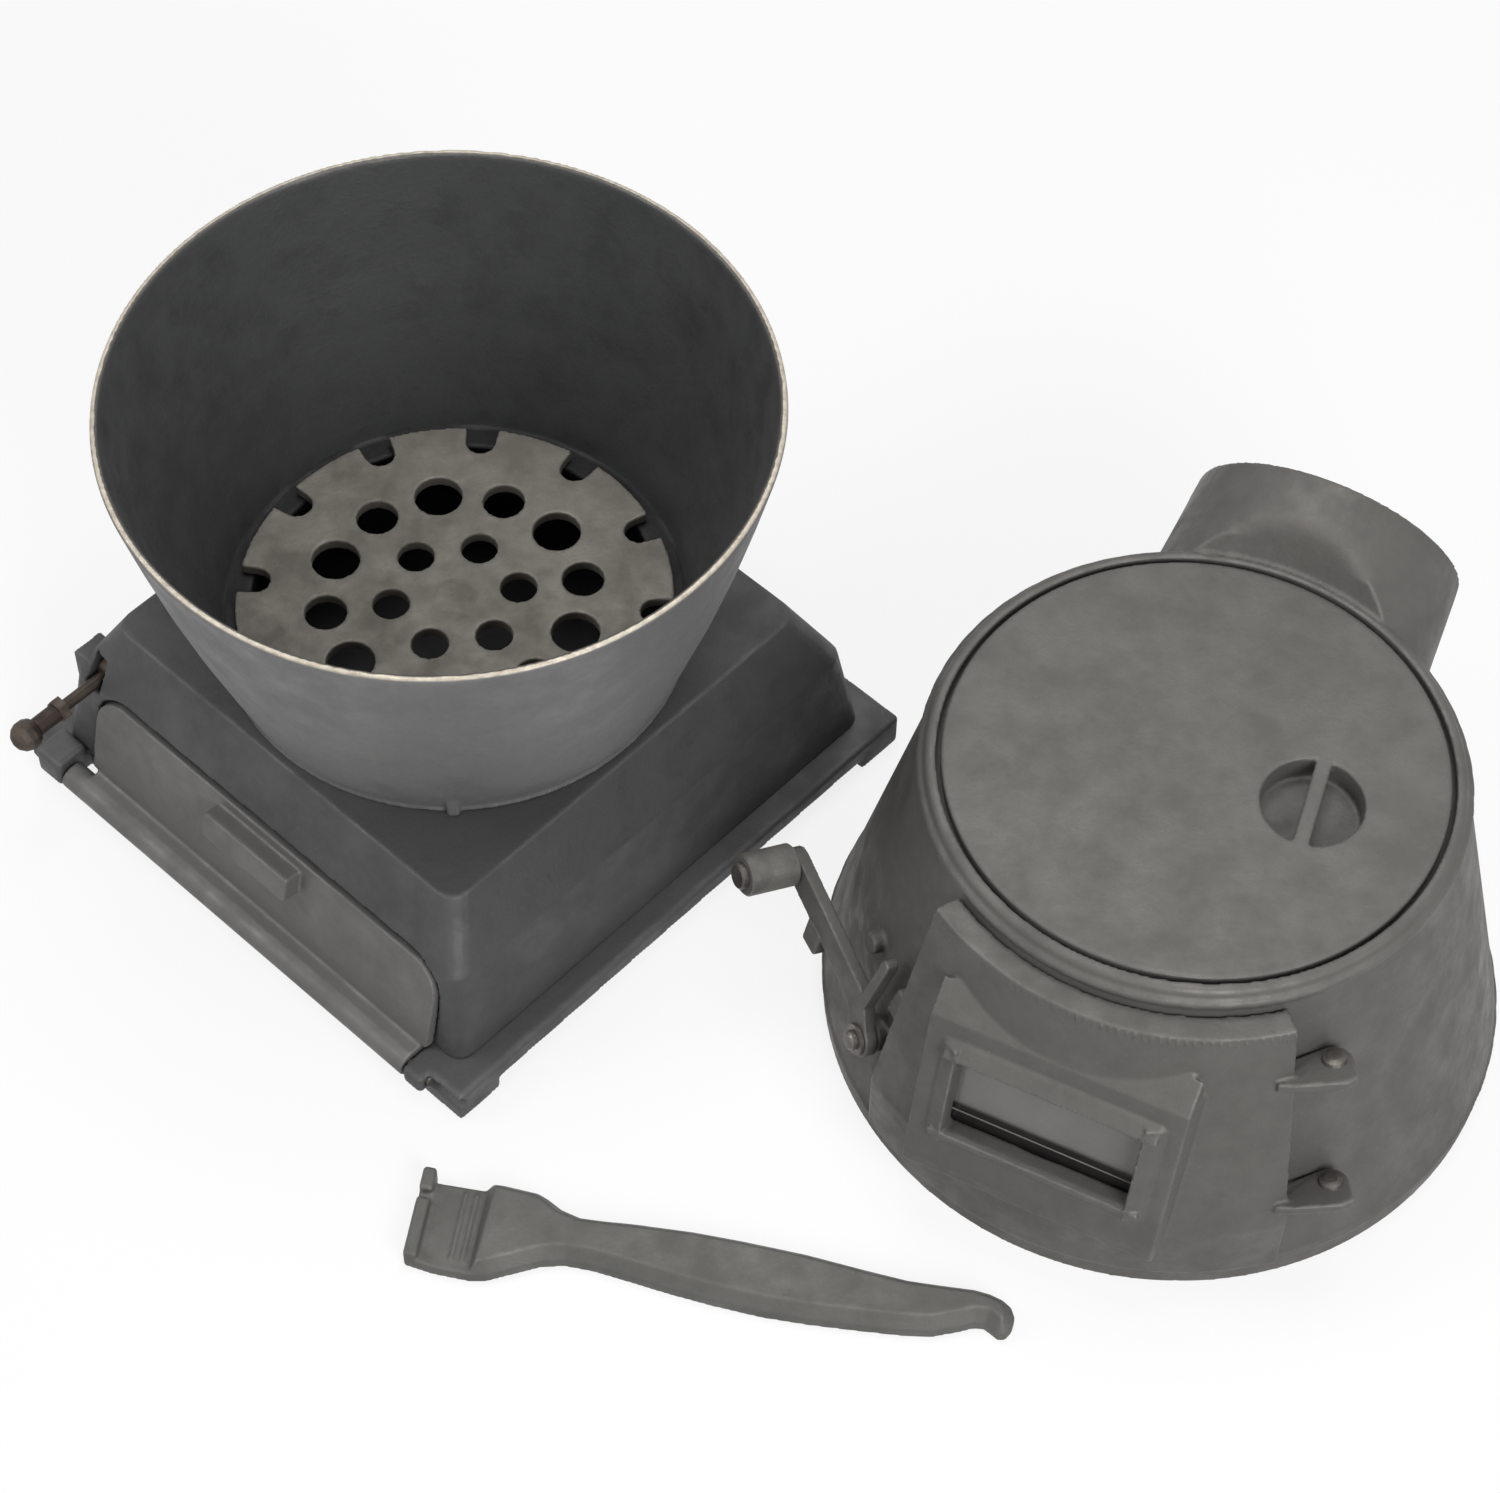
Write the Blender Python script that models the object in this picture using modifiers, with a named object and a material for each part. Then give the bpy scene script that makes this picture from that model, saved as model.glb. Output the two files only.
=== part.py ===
import math

import bmesh
import bpy
from mathutils import Matrix, Vector

# Tent stove taken apart for packing: the base with its ash box and fire pot on the left,
# the hood with lid, fire door and pipe collar on the right, and the lifting handle in front.
# Metres, +Z up, floor at z = 0.

# Where each group stands on the floor, and how far it is turned
BASE_AT = (-0.1396, 0.0524)
BASE_TURN = math.radians(47.8)
HOOD_AT = (0.1936, -0.0766)
HOOD_TURN = math.radians(-25.0)
HANDLE_AT = (-0.1480, -0.2126)
HANDLE_TURN = math.radians(-8.5)

# Sides of the large round pieces
TURN_STEPS = 56

# Gaps
SEAT = 0.0003
SLIDE = 0.0008
HINGE_GAP = 0.0005

# Fire pot
POT_FOOT_RADIUS = 0.1085
POT_RIM_RADIUS = 0.1532
POT_HEIGHT = 0.1562
POT_WALL = 0.0046
POT_BULGE = 0.0030
POT_SPIGOT_WALL = 0.0045
POT_SPIGOT_DROP = 0.0038
POT_FOOT_LIP = 0.0042
GRATE_LEDGE = 0.0115
POT_RIB_WIDTH = 0.0060
POT_RIB_HEIGHT = 0.0130

# Grate
GRATE_IN_FROM_FOOT = 0.0062
GRATE_THICK = 0.0062
GRATE_INNER_PITCH = 0.0300
GRATE_OUTER_PITCH = 0.0605
GRATE_INNER_HOLE = 0.0088
GRATE_LARGE_HOLE = 0.0115
GRATE_SMALL_HOLE = 0.0100
GRATE_NOTCH_RADIUS = 0.0072
GRATE_NOTCH_DEPTH = 0.0155
GRATE_TURN = math.radians(11.0)

# Ash box
BOX_TOP_BORDER = 0.0052
BOX_SLOPE_RUN = 0.0165
BOX_SLOPE_RISE = 0.0315
BOX_SIDE_RUN = 0.0072
BOX_SIDE_RISE = 0.0520
BOX_WALL = 0.0050
BOX_CORNER = 0.0090
BOX_BOSS_RADIUS = 0.0080
BOX_BOSS_HEIGHT = 0.0160
FIXING_RADIUS = 0.0030
FIXING_HEAD_RADIUS = 0.0060
FIXING_HEAD_THICK = 0.0030

# Base plate
PLATE_BORDER = 0.0126
PLATE_THICK = 0.0110
FOOT_HEIGHT = 0.0080
FOOT_SIDE = 0.0260
PLATE_EDGE_ROUND = 0.0015

# Ash door, hinged along its lower edge
ASH_LEFT = 0.1105
ASH_RIGHT = 0.1200
ASH_LEAN = math.radians(12.9)
ASH_PANEL_THICK = 0.0050
ASH_PROUD = 0.0056
ASH_TOP_BELOW_SHOULDER = 0.0010
ASH_CORNER = 0.0180
ASH_POCKET_GAP = 0.0010
ASH_TOP_GAP = 0.0022
ASH_LAP = 0.0080
ASH_SILL = 0.0090
ASH_FOOT_GAP = 0.0020
ASH_BACKING = 0.0050
BARREL_RADIUS = 0.0070
BARREL_OUT = 0.0120
BARREL_GAP = 0.0010
BARREL_SHORT = 0.0030
ASH_PIN_RADIUS = 0.0030
ASH_PIN_REACH = 0.0180
LUG_LEFT_WIDTH = 0.0170
LUG_RIGHT_WIDTH = 0.0120
LUG_OVER_PLATE = 0.0060
BAR_LENGTH = 0.0560
BAR_HEIGHT = 0.0150
BAR_DEPTH = 0.0100
BAR_SIDEWAYS = 0.0030
BAR_BELOW_TOP = 0.0060
BAR_FINGER_GAP = 0.0030

# Swing bolt that clamps the ash door's upper corner
CLAMP_BESIDE_DOOR = 0.0050
CLAMP_BELOW_SHOULDER = 0.0010
CLAMP_PIN_INSIDE = 0.0130
CLAMP_ROD_RADIUS = 0.0030
CLAMP_EYE_RADIUS = 0.0065
CLAMP_PIN_RADIUS = 0.0022
CLAMP_ROD_REACH = 0.0400
CLAMP_SLOT_GAP = 0.0010
CLAMP_EAR_THICK = 0.0035
CLAMP_SLOT_RISE = 0.0130
CLAMP_NUT_OFF = 0.0180
CLAMP_NUT_COLLAR = 0.0062
CLAMP_COLLAR_LENGTH = 0.0050
CLAMP_SLEEVE_RADIUS = 0.0047
CLAMP_SLEEVE_LENGTH = 0.0125
CLAMP_BALL_RADIUS = 0.0078
CORNER_HOLE_RADIUS = 0.0016

# Hood
SKIRT_WALL = 0.0034
SKIRT_HEIGHT = 0.0120
RIM_SOCKET_DEPTH = 0.0070
RIM_SOCKET_SHELF = 0.0050
HOOD_HEIGHT = 0.1810
HOOD_SHOULDER_DROP = 0.0050
HOOD_WALL = 0.0052
LID_RADIUS = 0.1111
LID_THICK = 0.0060
LID_GAP = 0.0023
LID_RING_WIDTH = 0.0034
LID_SHOULDER_OUT = 0.0022
LID_LEDGE = 0.0090
LID_LEDGE_THICK = 0.0050
LID_SPIGOT_GAP = 0.0020
LID_SPIGOT_DROP = 0.0030
POCKET_OFFSET = 0.0530
POCKET_RADIUS = 0.0228
POCKET_DEPTH = 0.0135
POCKET_WALL = 0.0040
POCKET_BAR_WIDTH = 0.0070
POCKET_BAR_TURN = math.radians(8.0)
POCKET_BAR_THICK = 0.0052

# Pipe collar at the back of the hood
COLLAR_BORE_RADIUS = 0.0604
COLLAR_WALL = 0.0042
COLLAR_TILT = math.radians(17.5)
COLLAR_REACH = 0.1710
COLLAR_CENTRE_HEIGHT = 0.1475
COLLAR_LENGTH = 0.0900
COLLAR_TAPER = 0.072
COLLAR_RING_MARGIN = 0.0004
COLLAR_NECK_LEAN = 0.45
COLLAR_NECK_SINK = 0.0040

# Fire door
DOOR_LEFT_ANGLE = math.radians(33.2)
DOOR_RIGHT_ANGLE = math.radians(41.5)
DOOR_SIDE_ANGLE = math.radians(2.6)
DOOR_TOP = 0.1710
DOOR_FOOT_GAP = 0.0025
DOOR_STAND = 0.0125
DOOR_KNEE = 0.0500
DOOR_SHELL = 0.0050
DOOR_BACK_GAP = 0.0010
DOOR_LEDGE_THICK = 0.0060
BAY_TOP = 0.1360
BAY_FOOT = 0.0430
BAY_HALF_WIDTH = 0.0600
BAY_SPLAY = 0.0060
BAY_WALL = 0.0055
BAY_PROUD = 0.0005
FIRE_OPENING_MARGIN = 0.0040
FIRE_SILL = 0.0280

# Window in the fire door
WINDOW_CENTRE = 0.0935
WINDOW_HALF_WIDTH = 0.0430
WINDOW_HALF_HEIGHT = 0.0221
WINDOW_RIM_WIDTH = 0.0078
WINDOW_RIM_PROUD = 0.0030
WINDOW_RIM_SLOPE = 0.0022
PANE_LAP = 0.0050
PANE_THICK = 0.0030
KEEPER_THICK = 0.0025
KEEPER_LAP = 0.0080
PANE_SCREW_RADIUS = 0.0018
PANE_SCREW_HEAD = 0.0034

# Fire door hinges, on the right
HINGE_AZIMUTH = math.radians(-40.5)
HINGE_STAND = 0.0095
HINGE_UPPER = 0.1330
HINGE_LOWER = 0.0570
HINGE_PIN_RADIUS = 0.0027
HINGE_EYE_RADIUS = 0.0083
HINGE_PLATE_THICK = 0.0050
HINGE_LUG_THICK = 0.0060
HINGE_TIP_OUT = 0.0085

# Fire door latch, on the left
LATCH_AZIMUTH = math.radians(-129.06)
LATCH_HEIGHT = 0.0560
LATCH_LIFT = 0.0063
LEVER_THICK = 0.0062
LEVER_WIDTH = 0.0150
LEVER_EYE_RADIUS = 0.0088
LEVER_KNEE = (-0.0110, 0.0165)
LEVER_END = (-0.0822, 0.0264)
FINGER_FROM = (-0.0060, 0.0180)
FINGER_TO = (-0.0010, 0.0520)
FINGER_WIDTH = 0.0056
LATCH_BOLT_RADIUS = 0.0030
LATCH_HEAD_RADIUS = 0.0046
LATCH_WASHER_RADIUS = 0.0074
LATCH_WASHER_THICK = 0.0014
LATCH_BOSS_RADIUS = 0.0080
CATCH_LOW = 0.0250
CATCH_HIGH = 0.0420
CATCH_REACH = 0.0110
CATCH_THICK = 0.0045
GRIP_RADIUS = 0.0100
GRIP_LENGTH = 0.0250
GRIP_ROD_RADIUS = 0.0030
GRIP_HEAD_RADIUS = 0.0062

# Lifting handle
HANDLE_THICK = 0.0140
HANDLE_TOE_THICK = 0.0075
HANDLE_LIP_HEIGHT = 0.0120
HANDLE_LIP_LENGTH = 0.0068
HANDLE_TOE_LENGTH = 0.0300
HANDLE_EDGE_ROUND = 0.0035

CAST_IRON = (0.060, 0.060, 0.062)
HOOD_IRON = (0.135, 0.135, 0.125)
WORN_IRON = (0.150, 0.140, 0.125)

# Heights that follow
PLATE_TOP = FOOT_HEIGHT + PLATE_THICK
BOX_FOOT = PLATE_TOP + SEAT
SHOULDER = BOX_FOOT + BOX_SIDE_RISE
BOX_TOP = SHOULDER + BOX_SLOPE_RISE
POT_FOOT = BOX_TOP + SEAT

# Half widths that follow, from the pot's foot outward
BOX_TOP_HALF = POT_FOOT_RADIUS + BOX_TOP_BORDER
GRATE_RADIUS = POT_FOOT_RADIUS - GRATE_IN_FROM_FOOT
SHOULDER_HALF = BOX_TOP_HALF + BOX_SLOPE_RUN
BOX_FOOT_HALF = SHOULDER_HALF + BOX_SIDE_RUN
PLATE_HALF = BOX_FOOT_HALF + PLATE_BORDER

# The hood's wall is a cone between its skirt and its shoulder
SKIRT_RADIUS = POT_RIM_RADIUS + SLIDE + SKIRT_WALL
RING_INNER = LID_RADIUS + LID_GAP
RING_OUTER = RING_INNER + LID_RING_WIDTH
SHOULDER_RADIUS = RING_OUTER + LID_SHOULDER_OUT
HOOD_SHOULDER = HOOD_HEIGHT - HOOD_SHOULDER_DROP
CONE_SLOPE = (SKIRT_RADIUS - SHOULDER_RADIUS) / (HOOD_SHOULDER - SKIRT_HEIGHT)
CONE_LEAN = math.atan(CONE_SLOPE)


def cone_radius(height):
    return SHOULDER_RADIUS + CONE_SLOPE * (HOOD_SHOULDER - height)


def clear_scene():
    for obj in list(bpy.data.objects):
        bpy.data.objects.remove(obj)
    for collection in list(bpy.data.collections):
        bpy.data.collections.remove(collection)


clear_scene()
parts = bpy.data.collections.new("tent_stove")
guides = bpy.data.collections.new("cutters")
bpy.context.scene.collection.children.link(parts)
bpy.context.scene.collection.children.link(guides)


def material(name, colour, roughness, metallic):
    made = bpy.data.materials.new(name)
    made.use_nodes = True
    shader = made.node_tree.nodes["Principled BSDF"]
    shader.inputs["Base Color"].default_value = (*colour, 1.0)
    shader.inputs["Roughness"].default_value = roughness
    shader.inputs["Metallic"].default_value = metallic
    made.diffuse_color = (*colour, 1.0)
    return made


def empty(name, parent=None, at=(0.0, 0.0, 0.0), turn=(0.0, 0.0, 0.0)):
    """A placing frame; it is not a piece."""
    made = bpy.data.objects.new(name, None)
    made.location = at
    made.rotation_euler = turn
    made.parent = parent
    made.empty_display_size = 0.02
    parts.objects.link(made)
    return made


def piece(name, mesh, parent, colour, roughness=0.65, metallic=0.6, at=(0.0, 0.0, 0.0), turn=(0.0, 0.0, 0.0)):
    """A real piece with its own material."""
    made = bpy.data.objects.new(name, mesh)
    made.location = at
    made.rotation_euler = turn
    made.parent = parent
    mesh.materials.append(material(name, colour, roughness, metallic))
    parts.objects.link(made)
    return made


def guide(name, mesh, parent, at=(0.0, 0.0, 0.0), turn=(0.0, 0.0, 0.0)):
    """A shape that is cut out of a piece or joined to it."""
    made = bpy.data.objects.new(name, mesh)
    made.location = at
    made.rotation_euler = turn
    made.parent = parent
    made.hide_render = True
    made.display_type = "WIRE"
    guides.objects.link(made)
    return made


def boolean(target, other, operation):
    step = target.modifiers.new(other.name, "BOOLEAN")
    step.operation = operation
    step.object = other
    step.solver = "EXACT"


def cut(target, *others):
    for other in others:
        boolean(target, other, "DIFFERENCE")


def join(target, *others):
    for other in others:
        boolean(target, other, "UNION")


def mesh_from(name, bm):
    bmesh.ops.recalc_face_normals(bm, faces=bm.faces)
    mesh = bpy.data.meshes.new(name)
    bm.to_mesh(mesh)
    bm.free()
    mesh.shade_smooth()
    mesh.set_sharp_from_angle(angle=math.radians(35.0))
    return mesh


def block(name, low, high, round_edges=0.0, segments=2):
    """A box between two corners, with its edges rounded if asked."""
    bm = bmesh.new()
    bmesh.ops.create_cube(bm, size=1.0)
    size = Vector(high) - Vector(low)
    middle = (Vector(high) + Vector(low)) / 2.0
    bmesh.ops.scale(bm, vec=size, verts=bm.verts)
    bmesh.ops.translate(bm, vec=middle, verts=bm.verts)
    if round_edges:
        bmesh.ops.bevel(bm, geom=list(bm.edges), offset=round_edges, segments=segments, profile=0.5, affect="EDGES")
    return mesh_from(name, bm)


def rod(name, radius, length, sides=24, far_radius=None):
    """A cylinder or cone frustum standing on the origin, along +Z."""
    bm = bmesh.new()
    end = radius if far_radius is None else far_radius
    bmesh.ops.create_cone(bm, cap_ends=True, segments=sides, radius1=radius, radius2=end, depth=length)
    bmesh.ops.translate(bm, vec=(0.0, 0.0, length / 2.0), verts=bm.verts)
    return mesh_from(name, bm)


def raised(bm, face, rise, scale=(1.0, 1.0, 1.0)):
    """Extrude one face upward and return the new one; a face with neighbours gives way to it."""
    joined = any(len(edge.link_faces) > 1 for edge in face.edges)
    made = bmesh.ops.extrude_face_region(bm, geom=[face])
    verts = [item for item in made["geom"] if isinstance(item, bmesh.types.BMVert)]
    top = [item for item in made["geom"] if isinstance(item, bmesh.types.BMFace)][0]
    bmesh.ops.translate(bm, vec=rise, verts=verts)
    bmesh.ops.scale(bm, vec=scale, verts=verts)
    if joined:
        bmesh.ops.delete(bm, geom=[face], context="FACES_ONLY")
    return top


def prism(name, outline, low, high):
    """A flat outline in X and Y, thickened from low to high along Z."""
    bm = bmesh.new()
    face = bm.faces.new([bm.verts.new((x, y, low)) for x, y in outline])
    raised(bm, face, (0.0, 0.0, high - low))
    return mesh_from(name, bm)


def turned(name, profile, closed=False, steps=64):
    """A mesh to be swept round Z; the profile runs down its outer side."""
    mesh = bpy.data.meshes.new(name)
    edges = [(i, i + 1) for i in range(len(profile) - 1)]
    if closed:
        edges.append((len(profile) - 1, 0))
    mesh.from_pydata([(radius, 0.0, height) for radius, height in profile], edges, [])
    return mesh, steps


def sweep(made, steps):
    screw = made.modifiers.new("Turn", "SCREW")
    screw.steps = steps
    screw.render_steps = steps
    screw.use_merge_vertices = True
    screw.merge_threshold = 0.00001
    return made


def turned_piece(name, profile, parent, colour, roughness=0.65, metallic=0.6, steps=64, closed=False, **place):
    mesh, steps = turned(name, profile, closed, steps)
    return sweep(piece(name, mesh, parent, colour, roughness, metallic, **place), steps)


def turned_guide(name, profile, parent, steps=64, closed=False, **place):
    mesh, steps = turned(name, profile, closed, steps)
    return sweep(guide(name, mesh, parent, **place), steps)


def sector(name, profile, left, right, steps):
    """A closed profile of radius and height swept round Z, to the left and right of -Y."""
    bm = bmesh.new()
    start = -math.pi / 2.0 - left
    corners = [bm.verts.new((radius * math.cos(start), radius * math.sin(start), height)) for radius, height in profile]
    face = bm.faces.new(corners)
    bmesh.ops.spin(bm, geom=[face], cent=(0.0, 0.0, 0.0), axis=(0.0, 0.0, 1.0), dvec=(0.0, 0.0, 0.0),
                   angle=left + right, steps=steps, use_duplicate=False)
    bmesh.ops.remove_doubles(bm, verts=bm.verts, dist=0.00001)
    return mesh_from(name, bm)


def tapered_block(name, levels, corner):
    """A square block whose half width changes from level to level, with rounded corners."""
    bm = bmesh.new()
    half, height = levels[0]
    top = bm.faces.new([bm.verts.new((x * half, y * half, height)) for x, y in ((-1, -1), (1, -1), (1, 1), (-1, 1))])
    for next_half, next_height in levels[1:]:
        top = raised(bm, top, (0.0, 0.0, next_height - height), (next_half / half, next_half / half, 1.0))
        half, height = next_half, next_height
    upright = [edge for edge in bm.edges if abs(edge.verts[0].co.z - edge.verts[1].co.z) > 0.0001]
    bmesh.ops.bevel(bm, geom=upright, offset=corner, segments=4, profile=0.5, affect="EDGES")
    return mesh_from(name, bm)


def round_outline(centre, radius, start, end, count):
    """Points on an arc, both ends included, angles in degrees."""
    points = []
    for i in range(count):
        angle = math.radians(start + (end - start) * i / (count - 1))
        points.append((centre[0] + radius * math.cos(angle), centre[1] + radius * math.sin(angle)))
    return points


def bar_outline(start, end, width, cap_points=7):
    """A straight bar with round ends, as a flat outline."""
    along = math.degrees(math.atan2(end[1] - start[1], end[0] - start[0]))
    outline = round_outline(start, width / 2.0, along + 90.0, along + 270.0, cap_points)
    return outline + round_outline(end, width / 2.0, along - 90.0, along + 90.0, cap_points)


along_x = (0.0, math.pi / 2.0, 0.0)
along_y = (-math.pi / 2.0, 0.0, 0.0)
base = empty("base_place", at=(*BASE_AT, 0.0), turn=(0.0, 0.0, BASE_TURN))
hood_place = empty("hood_place", at=(*HOOD_AT, 0.0), turn=(0.0, 0.0, HOOD_TURN))
handle_place = empty("handle_place", at=(*HANDLE_AT, 0.0), turn=(0.0, 0.0, HANDLE_TURN))

# Base plate with four feet. The ash door's side is -X.
hinge_x = -BOX_FOOT_HALF - BARREL_OUT
hinge_z = FOOT_HEIGHT + PLATE_THICK / 2.0
barrel_left = ASH_LEFT + CLAMP_BESIDE_DOOR + BARREL_SHORT
barrel_right = -ASH_RIGHT + BARREL_SHORT
plate = piece("base_plate", block("base_plate", (-PLATE_HALF, -PLATE_HALF, FOOT_HEIGHT), (PLATE_HALF, PLATE_HALF, PLATE_TOP),
                                  PLATE_EDGE_ROUND), base, CAST_IRON)
for side_x in (-1, 1):
    for side_y in (-1, 1):
        inner = PLATE_HALF - FOOT_SIDE
        low = (min(side_x * PLATE_HALF, side_x * inner), min(side_y * PLATE_HALF, side_y * inner), 0.0)
        high = (low[0] + FOOT_SIDE, low[1] + FOOT_SIDE, FOOT_HEIGHT + PLATE_THICK / 2.0)
        foot = guide(f"foot_{side_x}_{side_y}", block("foot", low, high, PLATE_EDGE_ROUND), base)
        join(plate, foot)
door_bay = guide("door_edge", block("door_edge", (-PLATE_HALF - 0.01, barrel_right - BARREL_GAP, -0.01),
                                    (-BOX_FOOT_HALF + SEAT, barrel_left + BARREL_GAP, PLATE_TOP + 0.01)), base)
cut(plate, door_bay)
lug_out = hinge_x - BARREL_RADIUS
lug_left = guide("lug_left", block("lug_left", (lug_out, barrel_left + BARREL_GAP, FOOT_HEIGHT),
                                   (-PLATE_HALF + 0.012, barrel_left + BARREL_GAP + LUG_LEFT_WIDTH, PLATE_TOP + LUG_OVER_PLATE), 0.002), base)
lug_right = guide("lug_right", block("lug_right", (lug_out, barrel_right - BARREL_GAP - LUG_RIGHT_WIDTH, FOOT_HEIGHT),
                                     (-PLATE_HALF + 0.012, barrel_right - BARREL_GAP, PLATE_TOP), 0.002), base)
join(plate, lug_left, lug_right)
pin_bore = guide("ash_pin_bore", rod("ash_pin_bore", ASH_PIN_RADIUS + SEAT, 0.40), base, at=(hinge_x, -0.20, hinge_z), turn=along_y)
cut(plate, pin_bore)

# Ash box: four sloping sides on the plate and a steeper top that carries the fire pot
box = piece("ash_box", tapered_block("ash_box", [(BOX_FOOT_HALF, BOX_FOOT), (SHOULDER_HALF, SHOULDER), (BOX_TOP_HALF, BOX_TOP)], BOX_CORNER),
            base, CAST_IRON)
box_space = guide("ash_space", tapered_block("ash_space", [
    (BOX_FOOT_HALF - BOX_WALL + 0.0014, BOX_FOOT - 0.010),
    (SHOULDER_HALF - BOX_WALL, SHOULDER - BOX_WALL / 2.0),
    (BOX_TOP_HALF - BOX_WALL, BOX_TOP - BOX_WALL)], BOX_CORNER - BOX_WALL), base)
cut(box, box_space)
box_bolt_at = BOX_FOOT_HALF - BOX_WALL - BOX_BOSS_RADIUS
for side_x in (-1, 1):
    for side_y in (-1, 1):
        boss = guide(f"boss_{side_x}_{side_y}", rod("boss", BOX_BOSS_RADIUS, BOX_BOSS_HEIGHT), base,
                     at=(side_x * box_bolt_at, side_y * box_bolt_at, BOX_FOOT))
        join(box, boss)
pot_seat = guide("pot_seat", rod("pot_seat", POT_FOOT_RADIUS - POT_FOOT_LIP - 0.004 + SLIDE, 0.03, 64), base, at=(0.0, 0.0, BOX_TOP - 0.015))
cut(box, pot_seat)
fixings = []
for number, (side_x, side_y) in enumerate(((-1, -1), (1, -1), (1, 1), (-1, 1)), 1):
    spot = (side_x * box_bolt_at, side_y * box_bolt_at)
    hole = guide(f"fixing_hole_{number}", rod("fixing_hole", FIXING_RADIUS + SEAT, PLATE_THICK + BOX_BOSS_HEIGHT - 0.004 + 0.010, 16), base,
                 at=(*spot, FOOT_HEIGHT - 0.010))
    recess = guide(f"fixing_recess_{number}", rod("fixing_recess", FIXING_HEAD_RADIUS + SEAT, FIXING_HEAD_THICK + SEAT + 0.010, 16), base,
                   at=(*spot, FOOT_HEIGHT - 0.010))
    cut(plate, hole, recess)
    cut(box, hole)
    shank = PLATE_THICK + BOX_BOSS_HEIGHT - 0.006
    bolt = turned_piece(f"fixing_bolt_{number}", [
        (0.0, shank), (FIXING_RADIUS, shank), (FIXING_RADIUS, FIXING_HEAD_THICK), (FIXING_HEAD_RADIUS, FIXING_HEAD_THICK),
        (FIXING_HEAD_RADIUS, 0.0), (0.0, 0.0)], base, CAST_IRON, 0.5, 0.8, 16, at=(*spot, FOOT_HEIGHT))
    fixings.append(bolt)

# Ash door: a leaning panel in a pocket of the front wall, with a barrel along its foot.
# The face frame has +X outward through the face and +Z up along it.
face_foot_x = -BOX_FOOT_HALF - ASH_PROUD
face = empty("ash_face", base, at=(face_foot_x, 0.0, PLATE_TOP), turn=(0.0, -math.pi + ASH_LEAN, 0.0))
panel_top = (SHOULDER - ASH_TOP_BELOW_SHOULDER - PLATE_TOP) / math.cos(ASH_LEAN)


def ash_panel(name, grow, thick_front, thick_back, top_grow, foot):
    """The door's outline in the face frame, X outward and Z downward, with round upper corners."""
    bm = bmesh.new()
    bmesh.ops.create_cube(bm, size=1.0)
    low = Vector((-thick_back, -ASH_RIGHT - grow, -panel_top - top_grow))
    high = Vector((thick_front, ASH_LEFT + grow, foot))
    bmesh.ops.scale(bm, vec=high - low, verts=bm.verts)
    bmesh.ops.translate(bm, vec=(high + low) / 2.0, verts=bm.verts)
    corners = []
    for edge in bm.edges:
        a, b = edge.verts
        if abs(a.co.x - b.co.x) > 0.001 and a.co.z < low.z + 0.001:
            corners.append(edge)
    bmesh.ops.bevel(bm, geom=corners, offset=ASH_CORNER + grow, segments=6, profile=0.5, affect="EDGES")
    return mesh_from(name, bm)


backing = guide("ash_backing", block("ash_backing", (-ASH_PANEL_THICK - HINGE_GAP - ASH_BACKING, -ASH_RIGHT - 0.006, -panel_top - 0.005),
                                     (-ASH_PANEL_THICK - HINGE_GAP + 0.0005, ASH_LEFT + 0.0145, -0.004)), face)
pocket = guide("ash_pocket", ash_panel("ash_pocket", ASH_POCKET_GAP, 0.030, ASH_PANEL_THICK + HINGE_GAP, ASH_TOP_GAP, 0.0), face)
opening = guide("ash_opening", ash_panel("ash_opening", -ASH_LAP, 0.030, 0.060, -ASH_LAP, -ASH_SILL), face)
join(box, backing)

clamp_y = ASH_LEFT + CLAMP_BESIDE_DOOR
clamp_z = SHOULDER - CLAMP_BELOW_SHOULDER
clamp_pin_x = -SHOULDER_HALF + CLAMP_PIN_INSIDE
eye_half = CLAMP_ROD_RADIUS + 0.0008
ear_inner = eye_half + CLAMP_SLOT_GAP
ears = guide("clamp_ears", block("clamp_ears", (clamp_pin_x - 0.009, clamp_y - ear_inner - CLAMP_EAR_THICK, clamp_z - 0.012),
                                 (clamp_pin_x + CLAMP_EYE_RADIUS + 0.001, clamp_y + ear_inner + 0.012, clamp_z + 0.007)), base)
join(box, ears)
cut(box, pocket, opening)
eye_front = clamp_pin_x - CLAMP_EYE_RADIUS - 0.0010
eye_back = clamp_pin_x + CLAMP_EYE_RADIUS + 0.0020
slot_floor = clamp_z - CLAMP_ROD_RADIUS - HINGE_GAP
slot_outline = [(-PLATE_HALF - 0.010, slot_floor), (eye_front, slot_floor), (eye_front, clamp_z - 0.020), (eye_back, clamp_z - 0.020),
                (eye_back, SHOULDER + CLAMP_SLOT_RISE), (-PLATE_HALF - 0.010, SHOULDER + CLAMP_SLOT_RISE)]
slot = guide("clamp_slot", prism("clamp_slot", slot_outline, -ear_inner, ear_inner), base, at=(0.0, clamp_y, 0.0), turn=(math.pi / 2.0, 0.0, 0.0))
clamp_bore = guide("clamp_bore", rod("clamp_bore", CLAMP_PIN_RADIUS + SEAT, 2.0 * ear_inner + 2.0 * CLAMP_EAR_THICK - 0.0012, 16), base,
                   at=(clamp_pin_x, clamp_y - ear_inner - CLAMP_EAR_THICK - 0.001, clamp_z), turn=along_y)
corner_hole = guide("corner_hole", rod("corner_hole", CORNER_HOLE_RADIUS, 0.010, 12), base,
                    at=(-SHOULDER_HALF - 0.006, SHOULDER_HALF - 0.0065, SHOULDER - 0.005), turn=along_x)
cut(box, slot, clamp_bore, corner_hole)

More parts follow.
